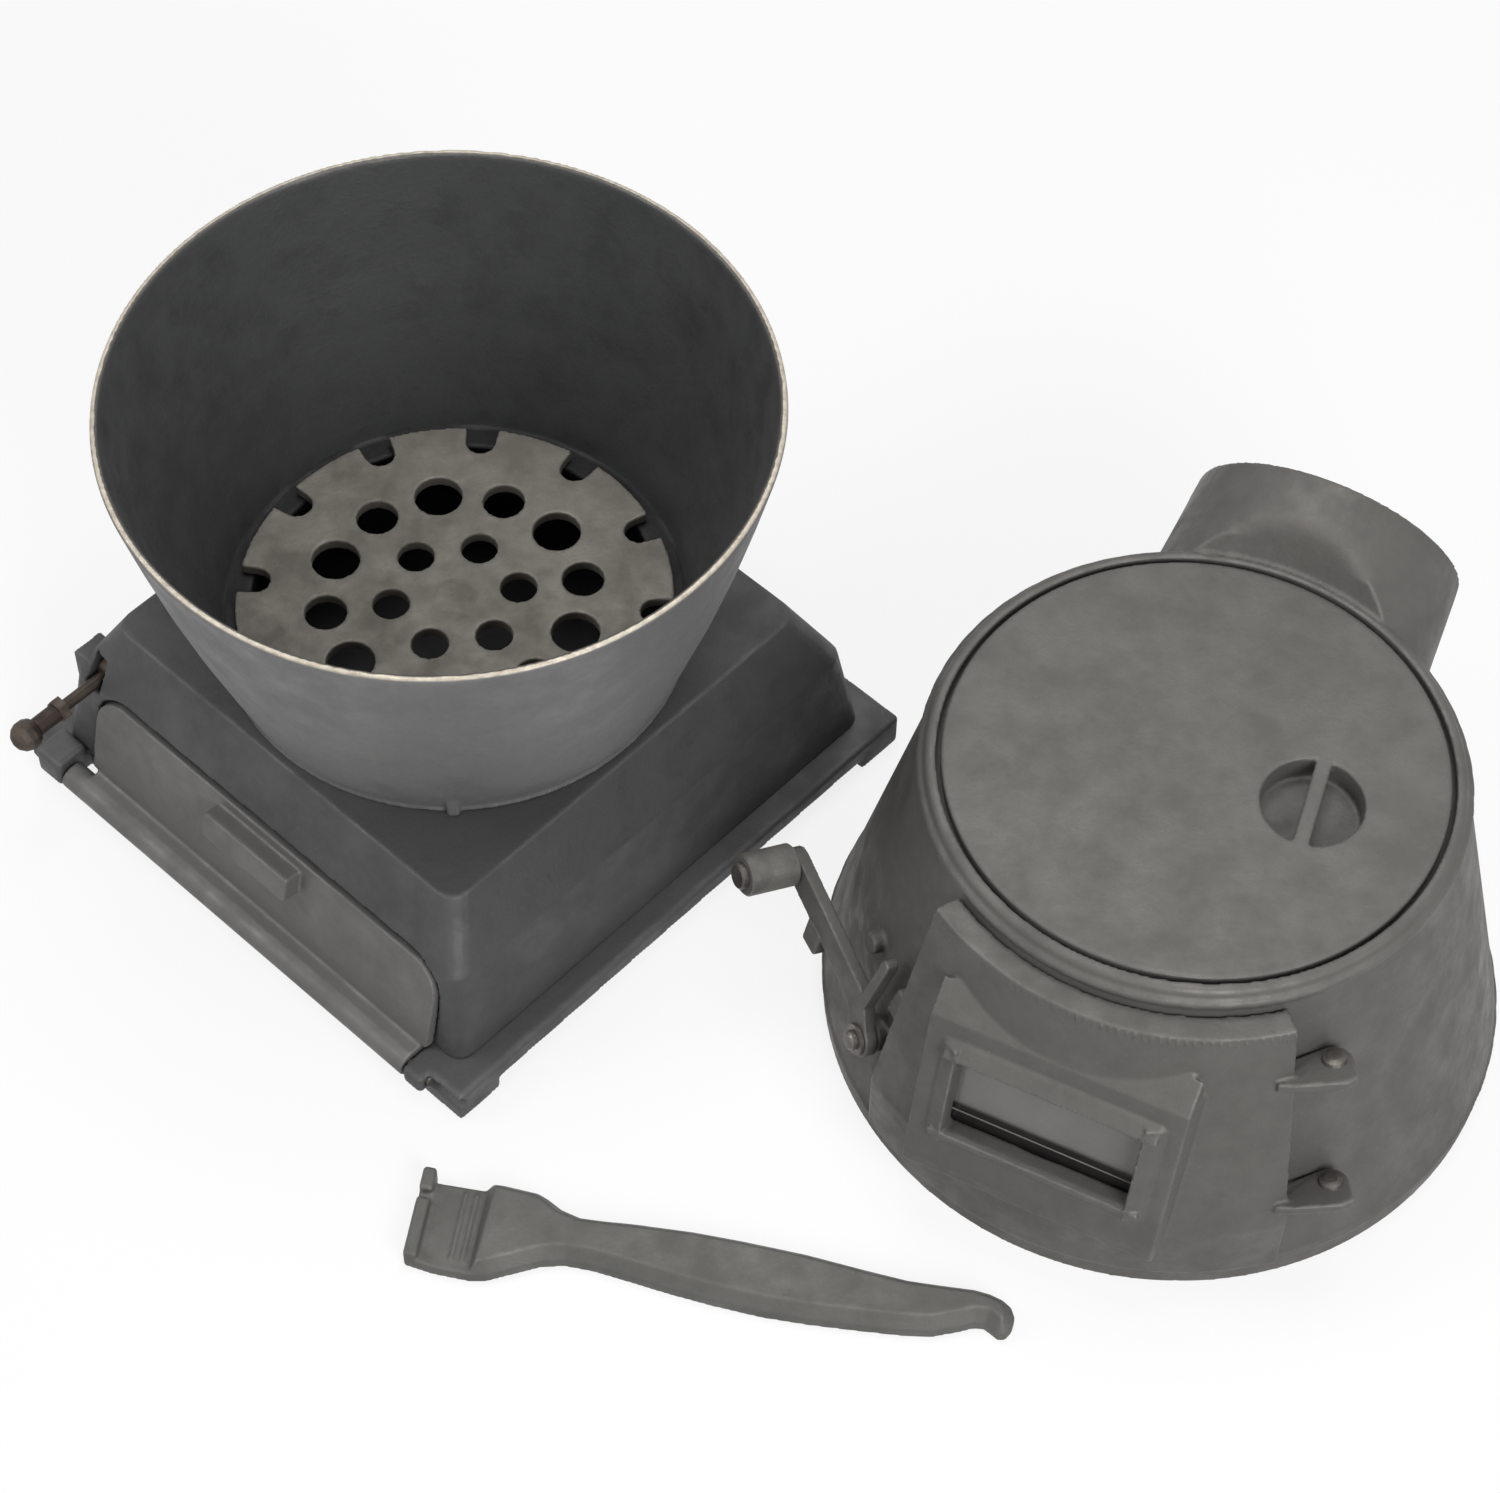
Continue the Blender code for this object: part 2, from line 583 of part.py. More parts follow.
ash_hinge = empty("ash_hinge", base, at=(hinge_x, 0.0, hinge_z))
door_face = empty("ash_door_face", ash_hinge, at=(face_foot_x - hinge_x, 0.0, PLATE_TOP - hinge_z), turn=(0.0, -math.pi + ASH_LEAN, 0.0))
ash_door = piece("ash_door", ash_panel("ash_door", 0.0, 0.0, ASH_PANEL_THICK, 0.0, -ASH_FOOT_GAP), door_face, CAST_IRON)
top_relief = guide("ash_top_relief", rod("ash_top_relief", (SHOULDER - ASH_TOP_BELOW_SHOULDER - hinge_z) * 1.045, 2.2 * SHOULDER_HALF, 96), ash_hinge,
                   at=(0.0, -1.1 * SHOULDER_HALF, 0.0), turn=along_y)
boolean(ash_door, top_relief, "INTERSECT")
barrel = guide("ash_barrel", rod("ash_barrel", BARREL_RADIUS, barrel_left - barrel_right, 20), ash_hinge, at=(0.0, barrel_right, 0.0), turn=along_y)
web = guide("ash_web", block("ash_web", (0.0, barrel_right, -0.0035), (face_foot_x - hinge_x + 0.0045, ASH_LEFT - 0.004, 0.0072)), ash_hinge)
bar_top = panel_top - BAR_BELOW_TOP
bar = guide("ash_bar", block("ash_bar", (-0.001, BAR_SIDEWAYS - BAR_LENGTH / 2.0 - 0.006, -bar_top),
                             (BAR_DEPTH, BAR_SIDEWAYS + BAR_LENGTH / 2.0 - 0.006, -bar_top + BAR_HEIGHT), 0.0012), door_face)
bar_gap = guide("ash_bar_gap", block("ash_bar_gap", (0.0006, BAR_SIDEWAYS - BAR_LENGTH / 2.0 - 0.002, -bar_top + 0.005),
                                     (0.0006 + BAR_FINGER_GAP, BAR_SIDEWAYS + BAR_LENGTH / 2.0 - 0.010, -bar_top + BAR_HEIGHT + 0.004)), door_face)
join(ash_door, barrel, web, bar)
cut(ash_door, bar_gap)
for end, name in ((barrel_left, "left"), (barrel_right, "right")):
    inward = -1.0 if end > 0.0 else 1.0
    middle = end - inward * (ASH_PIN_REACH / 2.0 - 0.004)
    bore = guide(f"ash_bore_{name}", rod("ash_bore", ASH_PIN_RADIUS + SEAT, 0.030, 20), ash_hinge,
                 at=(0.0, end - 0.015, 0.0), turn=along_y)
    cut(ash_door, bore)
    turned_piece(f"ash_hinge_pin_{name}", [
        (0.0, ASH_PIN_REACH / 2.0), (ASH_PIN_RADIUS, ASH_PIN_REACH / 2.0), (ASH_PIN_RADIUS, -ASH_PIN_REACH / 2.0), (0.0, -ASH_PIN_REACH / 2.0)],
        ash_hinge, CAST_IRON, 0.5, 0.8, 20, at=(0.0, middle, 0.0), turn=along_y)

# Swing bolt with its knob nut, and the pin it turns on
clamp = empty("clamp_hinge", base, at=(clamp_pin_x, clamp_y, clamp_z), turn=(0.0, -math.pi / 2.0, 0.0))
clamp_bolt = piece("ash_latch_bolt", rod("ash_latch_bolt", CLAMP_ROD_RADIUS, CLAMP_ROD_REACH, 20), clamp, WORN_IRON, 0.6, 0.7)
clamp_eye = guide("clamp_eye", rod("clamp_eye", CLAMP_EYE_RADIUS, 2.0 * eye_half, 24), clamp, at=(0.0, -eye_half, 0.0), turn=along_y)
clamp_eye_bore = guide("clamp_eye_bore", rod("clamp_eye_bore", CLAMP_PIN_RADIUS + SEAT, 0.03, 16), clamp, at=(0.0, -0.015, 0.0), turn=along_y)
join(clamp_bolt, clamp_eye)
cut(clamp_bolt, clamp_eye_bore)
clamp_pin_length = 2.0 * ear_inner + 2.0 * CLAMP_EAR_THICK - 0.0022
turned_piece("ash_latch_pin", [
    (0.0, clamp_pin_length), (CLAMP_PIN_RADIUS, clamp_pin_length), (CLAMP_PIN_RADIUS, 0.0), (0.0, 0.0)], base, CAST_IRON, 0.5, 0.8, 16,
    at=(clamp_pin_x, clamp_y - ear_inner - CLAMP_EAR_THICK - 0.0005, clamp_z), turn=along_y)
nut_start = CLAMP_PIN_INSIDE + CLAMP_NUT_OFF
nut_bore = CLAMP_ROD_RADIUS + SEAT
nut_end = CLAMP_ROD_REACH + 0.0012
ball_at = nut_start + CLAMP_COLLAR_LENGTH + CLAMP_SLEEVE_LENGTH + CLAMP_BALL_RADIUS * 0.7
ball = []
for i in range(6):
    angle = math.radians(8.0 + 24.0 * i)
    ball.append((CLAMP_BALL_RADIUS * math.sin(angle), ball_at + CLAMP_BALL_RADIUS * math.cos(angle)))
nut = turned_piece("ash_latch_nut", [(0.0, ball[0][1])] + ball + [
    (CLAMP_SLEEVE_RADIUS, ball[-1][1] - 0.0010),
    (CLAMP_SLEEVE_RADIUS, nut_start + CLAMP_COLLAR_LENGTH), (CLAMP_SLEEVE_RADIUS, nut_start + 0.001),
    (nut_bore, nut_start), (nut_bore, nut_end), (0.0, nut_end)], clamp, WORN_IRON, 0.6, 0.7, 16)
nut_collar = guide("nut_collar", rod("nut_collar", CLAMP_NUT_COLLAR, CLAMP_COLLAR_LENGTH, 6), clamp, at=(0.0, 0.0, nut_start))
nut_hole = guide("nut_hole", rod("nut_hole", nut_bore, nut_end, 20), clamp)
join(nut, nut_collar)
cut(nut, nut_hole)


# Fire pot: a bowl with a slightly swelling wall, a ledge for the grate and a spigot in the ash box
def pot_wall(height):
    share = height / POT_HEIGHT
    return POT_FOOT_RADIUS + (POT_RIM_RADIUS - POT_FOOT_RADIUS) * share + POT_BULGE * math.sin(math.pi * share)


pot_outer = [(pot_wall(POT_HEIGHT * share), POT_HEIGHT * share) for share in (0.985, 0.80, 0.60, 0.40, 0.20, 0.03)]
spigot = POT_FOOT_RADIUS - POT_FOOT_LIP - 0.004
ledge_wall = pot_wall(GRATE_LEDGE) - POT_WALL
pot_inner = [(pot_wall(POT_HEIGHT * share) - POT_WALL, POT_HEIGHT * share) for share in (0.256, 0.448, 0.640, 0.832)]
pot = turned_piece("fire_pot", [(POT_RIM_RADIUS - 0.0010, POT_HEIGHT)] + pot_outer + [
    (POT_FOOT_RADIUS, 0.0), (spigot, 0.0), (spigot, -POT_SPIGOT_DROP), (spigot - POT_SPIGOT_WALL, -POT_SPIGOT_DROP),
    (spigot - POT_SPIGOT_WALL, GRATE_LEDGE), (ledge_wall, GRATE_LEDGE)] + pot_inner + [
    (POT_RIM_RADIUS - POT_WALL, POT_HEIGHT * 0.985), (POT_RIM_RADIUS - POT_WALL + 0.0010, POT_HEIGHT)],
    base, CAST_IRON, 0.7, 0.5, TURN_STEPS, True, at=(0.0, 0.0, POT_FOOT))
rib_turn = math.radians(-135.0)
pot_rib = guide("pot_rib", block("pot_rib", (POT_FOOT_RADIUS - 0.004, -POT_RIB_WIDTH / 2.0, 0.0),
                                 (POT_FOOT_RADIUS + 0.0045, POT_RIB_WIDTH / 2.0, POT_RIB_HEIGHT), 0.001), base,
                at=(0.0, 0.0, POT_FOOT), turn=(0.0, 0.0, rib_turn))
join(pot, pot_rib)

# Grate: a flat disc with two rings of holes and a notched edge
grate_foot = POT_FOOT + GRATE_LEDGE + SEAT
grate = piece("grate", rod("grate", GRATE_RADIUS, GRATE_THICK, TURN_STEPS), base, WORN_IRON, 0.75, 0.5, at=(0.0, 0.0, grate_foot))


def grate_cutters():
    bm = bmesh.new()

    def post(radius, pitch, angle, sides):
        place = Matrix.Translation((pitch * math.cos(angle), pitch * math.sin(angle), GRATE_THICK / 2.0))
        bmesh.ops.create_cone(bm, cap_ends=True, segments=sides, radius1=radius, radius2=radius, depth=GRATE_THICK * 3.0, matrix=place)

    for i in range(6):
        post(GRATE_INNER_HOLE, GRATE_INNER_PITCH, GRATE_TURN + math.radians(60.0 * i), 14)
    for i in range(12):
        radius = GRATE_LARGE_HOLE if i % 2 else GRATE_SMALL_HOLE
        post(radius, GRATE_OUTER_PITCH, GRATE_TURN + math.radians(30.0 * i), 16)
    return mesh_from("grate_holes", bm)


def grate_notches():
    bm = bmesh.new()
    start = GRATE_RADIUS - GRATE_NOTCH_DEPTH + GRATE_NOTCH_RADIUS
    outline = round_outline((start, 0.0), GRATE_NOTCH_RADIUS, 90.0, 270.0, 7)
    outline += [(GRATE_RADIUS + 0.004, -GRATE_NOTCH_RADIUS * 1.12), (GRATE_RADIUS + 0.004, GRATE_NOTCH_RADIUS * 1.12)]
    for i in range(12):
        turn = Matrix.Rotation(GRATE_TURN + math.radians(15.0 + 30.0 * i), 4, "Z")
        face = bm.faces.new([bm.verts.new(turn @ Vector((x, y, -GRATE_THICK))) for x, y in outline])
        raised(bm, face, (0.0, 0.0, 3.0 * GRATE_THICK))
    return mesh_from("grate_notches", bm)


cut(grate, guide("grate_holes", grate_cutters(), base, at=(0.0, 0.0, grate_foot), turn=(0.0, 0.0, -BASE_TURN)))
cut(grate, guide("grate_notches", grate_notches(), base, at=(0.0, 0.0, grate_foot), turn=(0.0, 0.0, -BASE_TURN)))

# Hood: a cone wall with a skirt that drops over the pot's rim and a ring that holds the lid.
# The fire door faces -Y, the pipe collar +Y.
socket = POT_RIM_RADIUS + SLIDE
shelf = POT_RIM_RADIUS - POT_WALL
inner_start = RIM_SOCKET_DEPTH + RIM_SOCKET_SHELF + 0.012
lid_seat = HOOD_HEIGHT - LID_THICK - SEAT
ledge_inner = RING_INNER - LID_LEDGE
hood = turned_piece("hood", [
    (0.0, HOOD_HEIGHT), (RING_OUTER - 0.0008, HOOD_HEIGHT), (RING_OUTER + 0.0008, HOOD_HEIGHT - 0.0008),
    (SHOULDER_RADIUS - 0.0004, HOOD_SHOULDER + 0.0022), (SHOULDER_RADIUS, HOOD_SHOULDER), (SKIRT_RADIUS, SKIRT_HEIGHT), (SKIRT_RADIUS, 0.0), (0.0, 0.0)],
    hood_place, HOOD_IRON, 0.62, 0.55, TURN_STEPS)
mouth = Vector((0.0, COLLAR_REACH, COLLAR_CENTRE_HEIGHT))
collar_axis = Vector((0.0, math.cos(COLLAR_TILT), math.sin(COLLAR_TILT)))
collar_turn = (-math.pi / 2.0 + COLLAR_TILT, 0.0, 0.0)
collar_back = mouth - collar_axis * COLLAR_LENGTH
collar_radius = COLLAR_BORE_RADIUS + COLLAR_WALL
collar_widen = COLLAR_TAPER * COLLAR_LENGTH
collar = guide("collar_outside", rod("collar_outside", collar_radius + collar_widen, COLLAR_LENGTH, 56, collar_radius), hood_place,
               at=collar_back, turn=collar_turn)
neck_rise = 0.070
neck_start = RING_OUTER - COLLAR_RING_MARGIN
neck = turned_guide("collar_neck", [
    (0.0, HOOD_HEIGHT + neck_rise), (neck_start + neck_rise * COLLAR_NECK_LEAN, HOOD_HEIGHT + neck_rise),
    (neck_start, HOOD_HEIGHT - COLLAR_NECK_SINK), (0.0, HOOD_HEIGHT - COLLAR_NECK_SINK)], hood_place, TURN_STEPS)
cut(collar, neck)
join(hood, collar)
cone_in = HOOD_WALL / math.cos(CONE_LEAN)
hood_space = turned_guide("hood_space", [
    (0.0, lid_seat - LID_LEDGE_THICK), (cone_radius(lid_seat - LID_LEDGE_THICK) - cone_in, lid_seat - LID_LEDGE_THICK),
    (cone_radius(inner_start) - cone_in, inner_start), (shelf, inner_start - 0.001), (shelf, RIM_SOCKET_DEPTH),
    (socket, RIM_SOCKET_DEPTH), (socket, -0.010), (0.0, -0.010)], hood_place, TURN_STEPS)
collar_space = guide("collar_space", rod("collar_space", COLLAR_BORE_RADIUS + collar_widen, COLLAR_LENGTH + 0.020, 56,
                                         COLLAR_BORE_RADIUS - COLLAR_TAPER * 0.020), hood_place, at=collar_back, turn=collar_turn)
neck_foot = lid_seat - LID_LEDGE_THICK - 0.0010
neck_inside = turned_guide("collar_neck_inside", [
    (0.0, HOOD_HEIGHT + neck_rise), (neck_start + COLLAR_WALL + neck_rise * COLLAR_NECK_LEAN, HOOD_HEIGHT + neck_rise),
    (neck_start + COLLAR_WALL, neck_foot), (0.0, neck_foot)], hood_place, TURN_STEPS)
cut(collar_space, neck_inside)
cut(hood, hood_space, collar_space)
lid_hole = turned_guide("lid_hole", [
    (0.0, HOOD_HEIGHT + 0.01), (RING_INNER, HOOD_HEIGHT + 0.01), (RING_INNER, lid_seat), (ledge_inner, lid_seat),
    (ledge_inner, lid_seat - LID_LEDGE_THICK - 0.004), (0.0, lid_seat - LID_LEDGE_THICK - 0.004)], hood_place, TURN_STEPS)
fire_hole = guide("fire_hole", block("fire_hole", (-BAY_HALF_WIDTH + FIRE_OPENING_MARGIN / 2.0, -0.22, FIRE_SILL),
                                     (BAY_HALF_WIDTH - FIRE_OPENING_MARGIN / 2.0, -0.05, BAY_TOP - FIRE_OPENING_MARGIN)), hood_place)
cut(hood, lid_hole, fire_hole)

# Lid with a finger pocket: a round dish bridged by a flush bar
lid = turned_piece("lid", [
    (0.0, LID_THICK), (LID_RADIUS - 0.0006, LID_THICK), (LID_RADIUS, LID_THICK - 0.0006), (LID_RADIUS, 0.0),
    (ledge_inner - LID_SPIGOT_GAP, 0.0), (ledge_inner - LID_SPIGOT_GAP, -LID_SPIGOT_DROP), (ledge_inner - LID_SPIGOT_GAP - 0.006, -LID_SPIGOT_DROP),
    (ledge_inner - LID_SPIGOT_GAP - 0.006, 0.0), (0.0, 0.0)], hood_place, HOOD_IRON, 0.62, 0.55, TURN_STEPS, at=(0.0, 0.0, lid_seat + SEAT))
cup_depth = POCKET_DEPTH + POCKET_WALL
cup = guide("pocket_cup", rod("pocket_cup", POCKET_RADIUS + POCKET_WALL, cup_depth - 0.002, 36), lid, at=(POCKET_OFFSET, 0.003, LID_THICK - cup_depth))
pocket_round = guide("pocket_round", rod("pocket_round", POCKET_RADIUS, POCKET_DEPTH + 0.010, 36), lid,
                     at=(POCKET_OFFSET, 0.003, LID_THICK - POCKET_DEPTH))
bridge = guide("pocket_bar", block("pocket_bar", (-POCKET_BAR_WIDTH / 2.0, -0.05, LID_THICK - POCKET_BAR_THICK),
                                   (POCKET_BAR_WIDTH / 2.0, 0.05, LID_THICK + 0.020)), lid, at=(POCKET_OFFSET, 0.003, 0.0),
               turn=(0.0, 0.0, POCKET_BAR_TURN))
cut(pocket_round, bridge)
join(lid, cup)
cut(lid, pocket_round)


def wall_place(name, azimuth, height, stand, parent=hood_place):
    """A frame on the hood's wall: +X to the right, +Y up the wall, +Z straight out of it."""
    out = Vector((math.cos(azimuth), math.sin(azimuth), 0.0))
    right = Vector((-math.sin(azimuth), math.cos(azimuth), 0.0))
    normal = out * math.cos(CONE_LEAN) + Vector((0.0, 0.0, math.sin(CONE_LEAN)))
    up = normal.cross(right)
    spot = out * cone_radius(height) + Vector((0.0, 0.0, height)) + normal * stand
    turn = Matrix((right, up, normal)).transposed().to_euler()
    return empty(name, parent, at=spot, turn=turn)


# Fire door: a shell that follows the hood's wall, with a flat bay for the window
door_foot = SKIRT_HEIGHT + DOOR_FOOT_GAP
knee_radius = cone_radius(DOOR_KNEE) + DOOR_STAND
hinge_axis = wall_place("door_hinge", HINGE_AZIMUTH, HINGE_LOWER, HINGE_STAND)
bpy.context.view_layer.update()
hinge_matrix = hood_place.matrix_world.inverted() @ hinge_axis.matrix_world


def swing_piece(name, mesh, colour, roughness, metallic):
    """A piece modelled in the hood's frame whose origin is moved to the door's hinge."""
    mesh.transform(hinge_matrix.inverted())
    return piece(name, mesh, hinge_axis, colour, roughness, metallic)


def door_profile(back, front, foot, top):
    """A closed section through the door, back and front measured from its inner and outer faces."""
    return [(cone_radius(foot) + DOOR_BACK_GAP - back, foot), (cone_radius(top) + DOOR_BACK_GAP - back, top),
            (cone_radius(top) + DOOR_STAND - front, top), (knee_radius - front, DOOR_KNEE), (knee_radius - front, foot)]


door_shell = sector("fire_door", door_profile(DOOR_SHELL, 0.0, door_foot, DOOR_TOP), DOOR_LEFT_ANGLE, DOOR_RIGHT_ANGLE, 22)
fire_door = swing_piece("fire_door", door_shell, HOOD_IRON, 0.62, 0.55)


def bay_mesh(name, front, side, foot, top, back):
    """The window bay: flat in front and narrower there than behind."""
    front_top = cone_radius(top) + DOOR_STAND + BAY_PROUD - front
    front_knee = knee_radius + BAY_PROUD - front
    outline = [(-front_top, top), (-front_knee, DOOR_KNEE), (-front_knee, foot), (-back, foot), (-back, top)]
    bm = bmesh.new()
    width = BAY_HALF_WIDTH + BAY_SPLAY - side
    raised(bm, bm.faces.new([bm.verts.new((-width, y, z)) for y, z in outline]), (2.0 * width, 0.0, 0.0))
    fronts = [vert for vert in bm.verts if vert.co.y < -back - 0.001]
    bmesh.ops.scale(bm, vec=((width - BAY_SPLAY) / width, 1.0, 1.0), verts=fronts)
    return mesh_from(name, bm)


bay_back = 0.095
bay = guide("window_bay", bay_mesh("window_bay", 0.0, 0.0, BAY_FOOT, BAY_TOP, bay_back), hood_place)
wall_clearance = turned_guide("door_clearance", [
    (0.0, HOOD_SHOULDER), (cone_radius(HOOD_SHOULDER) + DOOR_BACK_GAP, HOOD_SHOULDER), (SKIRT_RADIUS + DOOR_BACK_GAP, SKIRT_HEIGHT),
    (SKIRT_RADIUS + DOOR_BACK_GAP, -0.010), (0.0, -0.010)], hood_place, TURN_STEPS)
space_profile = door_profile(0.030, DOOR_SHELL, door_foot + DOOR_LEDGE_THICK, DOOR_TOP - DOOR_LEDGE_THICK)
door_space = guide("door_space", sector("door_space", space_profile, DOOR_LEFT_ANGLE - DOOR_SIDE_ANGLE,
                                        DOOR_RIGHT_ANGLE - DOOR_SIDE_ANGLE, 22), hood_place)
bay_space = guide("bay_space", bay_mesh("bay_space", DOOR_SHELL + 2.0 * BAY_PROUD, BAY_WALL, BAY_FOOT + BAY_WALL, BAY_TOP - BAY_WALL, bay_back - 0.010), hood_place)
join(fire_door, bay)
cut(fire_door, wall_clearance, door_space, bay_space)

window = wall_place("window_place", -math.pi / 2.0, WINDOW_CENTRE, (DOOR_STAND + BAY_PROUD) * math.cos(CONE_LEAN))


def bevelled_rim(name):
    """The raised window rim, sloping in from all four sides."""
    bm = bmesh.new()
    half = (WINDOW_HALF_WIDTH + WINDOW_RIM_WIDTH, WINDOW_HALF_HEIGHT + WINDOW_RIM_WIDTH)
    face = bm.faces.new([bm.verts.new((x * half[0], y * half[1], -DOOR_SHELL * 0.6)) for x, y in ((-1, -1), (1, -1), (1, 1), (-1, 1))])
    face = raised(bm, face, (0.0, 0.0, DOOR_SHELL * 0.6 + WINDOW_RIM_PROUD * 0.35))
    raised(bm, face, (0.0, 0.0, WINDOW_RIM_PROUD * 0.65), (1.0 - WINDOW_RIM_SLOPE / half[0], 1.0 - WINDOW_RIM_SLOPE / half[1], 1.0))
    return mesh_from(name, bm)


window_rim = guide("window_rim", bevelled_rim("window_rim"), window)
window_hole = guide("window_hole", block("window_hole", (-WINDOW_HALF_WIDTH, -WINDOW_HALF_HEIGHT, -0.04), (WINDOW_HALF_WIDTH, WINDOW_HALF_HEIGHT, 0.02)), window)
join(fire_door, window_rim)
cut(fire_door, window_hole)

pane_half = (WINDOW_HALF_WIDTH + PANE_LAP, WINDOW_HALF_HEIGHT + PANE_LAP)
pane_front = -DOOR_SHELL - 2.0 * BAY_PROUD - SEAT
pane = piece("window_pane", block("window_pane", (-pane_half[0], -pane_half[1], pane_front - PANE_THICK), (pane_half[0], pane_half[1], pane_front)),
             window, (0.22, 0.21, 0.19), 0.25, 0.0)
keeper_front = pane_front - PANE_THICK - SEAT
keeper_half = (pane_half[0] + 0.001, pane_half[1] + KEEPER_LAP)
keeper = piece("pane_frame", block("pane_frame", (-keeper_half[0], -keeper_half[1], keeper_front - KEEPER_THICK), (keeper_half[0], keeper_half[1], keeper_front)),
               window, CAST_IRON, 0.6, 0.6)
keeper_hole = guide("keeper_hole", block("keeper_hole", (-WINDOW_HALF_WIDTH, -WINDOW_HALF_HEIGHT, -0.05), (WINDOW_HALF_WIDTH, WINDOW_HALF_HEIGHT, 0.0)), window)
cut(keeper, keeper_hole)
screw_y = pane_half[1] + KEEPER_LAP / 2.0 + 0.0005
for side, name in ((1, "upper"), (-1, "lower")):
    reach = -keeper_front + KEEPER_THICK - 0.0022
    turned_piece(f"pane_screw_{name}", [
        (0.0, reach), (PANE_SCREW_RADIUS, reach), (PANE_SCREW_RADIUS, 0.0), (PANE_SCREW_HEAD, -SEAT), (PANE_SCREW_HEAD, -0.0016), (0.0, -0.0024)],
        window, CAST_IRON, 0.5, 0.8, 14, at=(0.0, side * screw_y, keeper_front - KEEPER_THICK))
    screw_hole = guide(f"pane_screw_hole_{name}", rod("pane_screw_hole", PANE_SCREW_RADIUS + SEAT, reach + 0.0104, 14), window,
                       at=(0.0, side * screw_y, keeper_front - KEEPER_THICK - 0.010))
    cut(keeper, screw_hole)
    cut(fire_door, screw_hole)

# Hinges: a lug on the hood below a plate on the door, and a headed pin through both
side_gap = HINGE_AZIMUTH - (-math.pi / 2.0 + DOOR_RIGHT_ANGLE)
for height, name in ((HINGE_UPPER, "upper"), (HINGE_LOWER, "lower")):
    place = wall_place(f"hinge_{name}_place", HINGE_AZIMUTH, height, HINGE_STAND)
    reach = (cone_radius(height) + DOOR_STAND) * math.sin(side_gap)
    eye = round_outline((0.0, 0.0), HINGE_EYE_RADIUS, -90.0, 75.0, 12)
    plate_outline = eye + [(-0.0075, HINGE_TIP_OUT - 0.0018), (-reach + 0.004, -0.0010), (-reach - 0.0045, -0.0035), (-reach - 0.0045, -HINGE_EYE_RADIUS)]
    door_plate = guide(f"door_plate_{name}", prism("door_plate", plate_outline, 0.0, HINGE_PLATE_THICK), place, turn=(math.pi / 2.0, 0.0, 0.0),
                       at=(0.0, HINGE_PLATE_THICK / 2.0 + HINGE_GAP / 2.0 + HINGE_PLATE_THICK / 2.0, 0.0))
    join(fire_door, door_plate)
    lug_outline = [(HINGE_EYE_RADIUS, -HINGE_STAND - 0.0042), (HINGE_EYE_RADIUS, 0.0)]
    lug_outline += round_outline((0.0, 0.0), HINGE_EYE_RADIUS, 12.0, 168.0, 10)
    lug_outline += [(-HINGE_EYE_RADIUS, 0.0), (-0.0150, -HINGE_STAND - 0.0042)]
    hood_lug = guide(f"hood_lug_{name}", prism("hood_lug", lug_outline, 0.0, HINGE_LUG_THICK), place, turn=(math.pi / 2.0, 0.0, 0.0),
                     at=(0.0, -HINGE_GAP / 2.0, 0.0))
    join(hood, hood_lug)
    pin_hole = guide(f"hinge_hole_{name}", rod("hinge_hole", HINGE_PIN_RADIUS + SEAT, 0.024, 20), place, at=(0.0, -0.012, 0.0), turn=along_y)
    cut(fire_door, pin_hole)
    cut(hood, pin_hole)
    pin_top = HINGE_GAP / 2.0 + HINGE_PLATE_THICK + SEAT
    pin_foot = -HINGE_GAP / 2.0 - HINGE_LUG_THICK - 0.0008
    turned_piece(f"door_hinge_pin_{name}", [
        (0.0, pin_top + 0.0030), (0.0030, pin_top + 0.0028), (0.0050, pin_top + 0.0018), (0.0056, pin_top), (HINGE_PIN_RADIUS, pin_top),
        (HINGE_PIN_RADIUS, pin_foot), (0.0, pin_foot)], place, HOOD_IRON, 0.5, 0.7, 20, turn=along_y)

# Latch: a cranked lever on a boss of the hood; its finger turns over the lug on the door
latch = wall_place("latch_place", LATCH_AZIMUTH, LATCH_HEIGHT, 0.0)
door_side = cone_radius(LATCH_HEIGHT) * math.sin(-math.pi / 2.0 - DOOR_LEFT_ANGLE - LATCH_AZIMUTH)
catch_outline = [(door_side - CATCH_REACH - 0.0012, CATCH_LOW), (door_side + 0.0045, CATCH_LOW - 0.001),
                 (door_side + 0.0045, CATCH_HIGH - 0.004), (door_side - CATCH_REACH + 0.0015, CATCH_HIGH)]
catch = guide("door_catch", prism("door_catch", catch_outline, LATCH_LIFT - 0.0006 - CATCH_THICK, LATCH_LIFT - 0.0006), latch)
join(fire_door, catch)
boss = guide("latch_boss", rod("latch_boss", LATCH_BOSS_RADIUS, LATCH_LIFT + 0.0022 - HINGE_GAP, 28), latch, at=(0.0, 0.0, -0.0022))
join(hood, boss)
bolt_depth = 0.0045
latch_hole = guide("latch_hole", rod("latch_hole", LATCH_BOLT_RADIUS + SEAT, 0.040, 20), latch, at=(0.0, 0.0, LATCH_LIFT - 0.0003 - bolt_depth))
cut(hood, latch_hole)

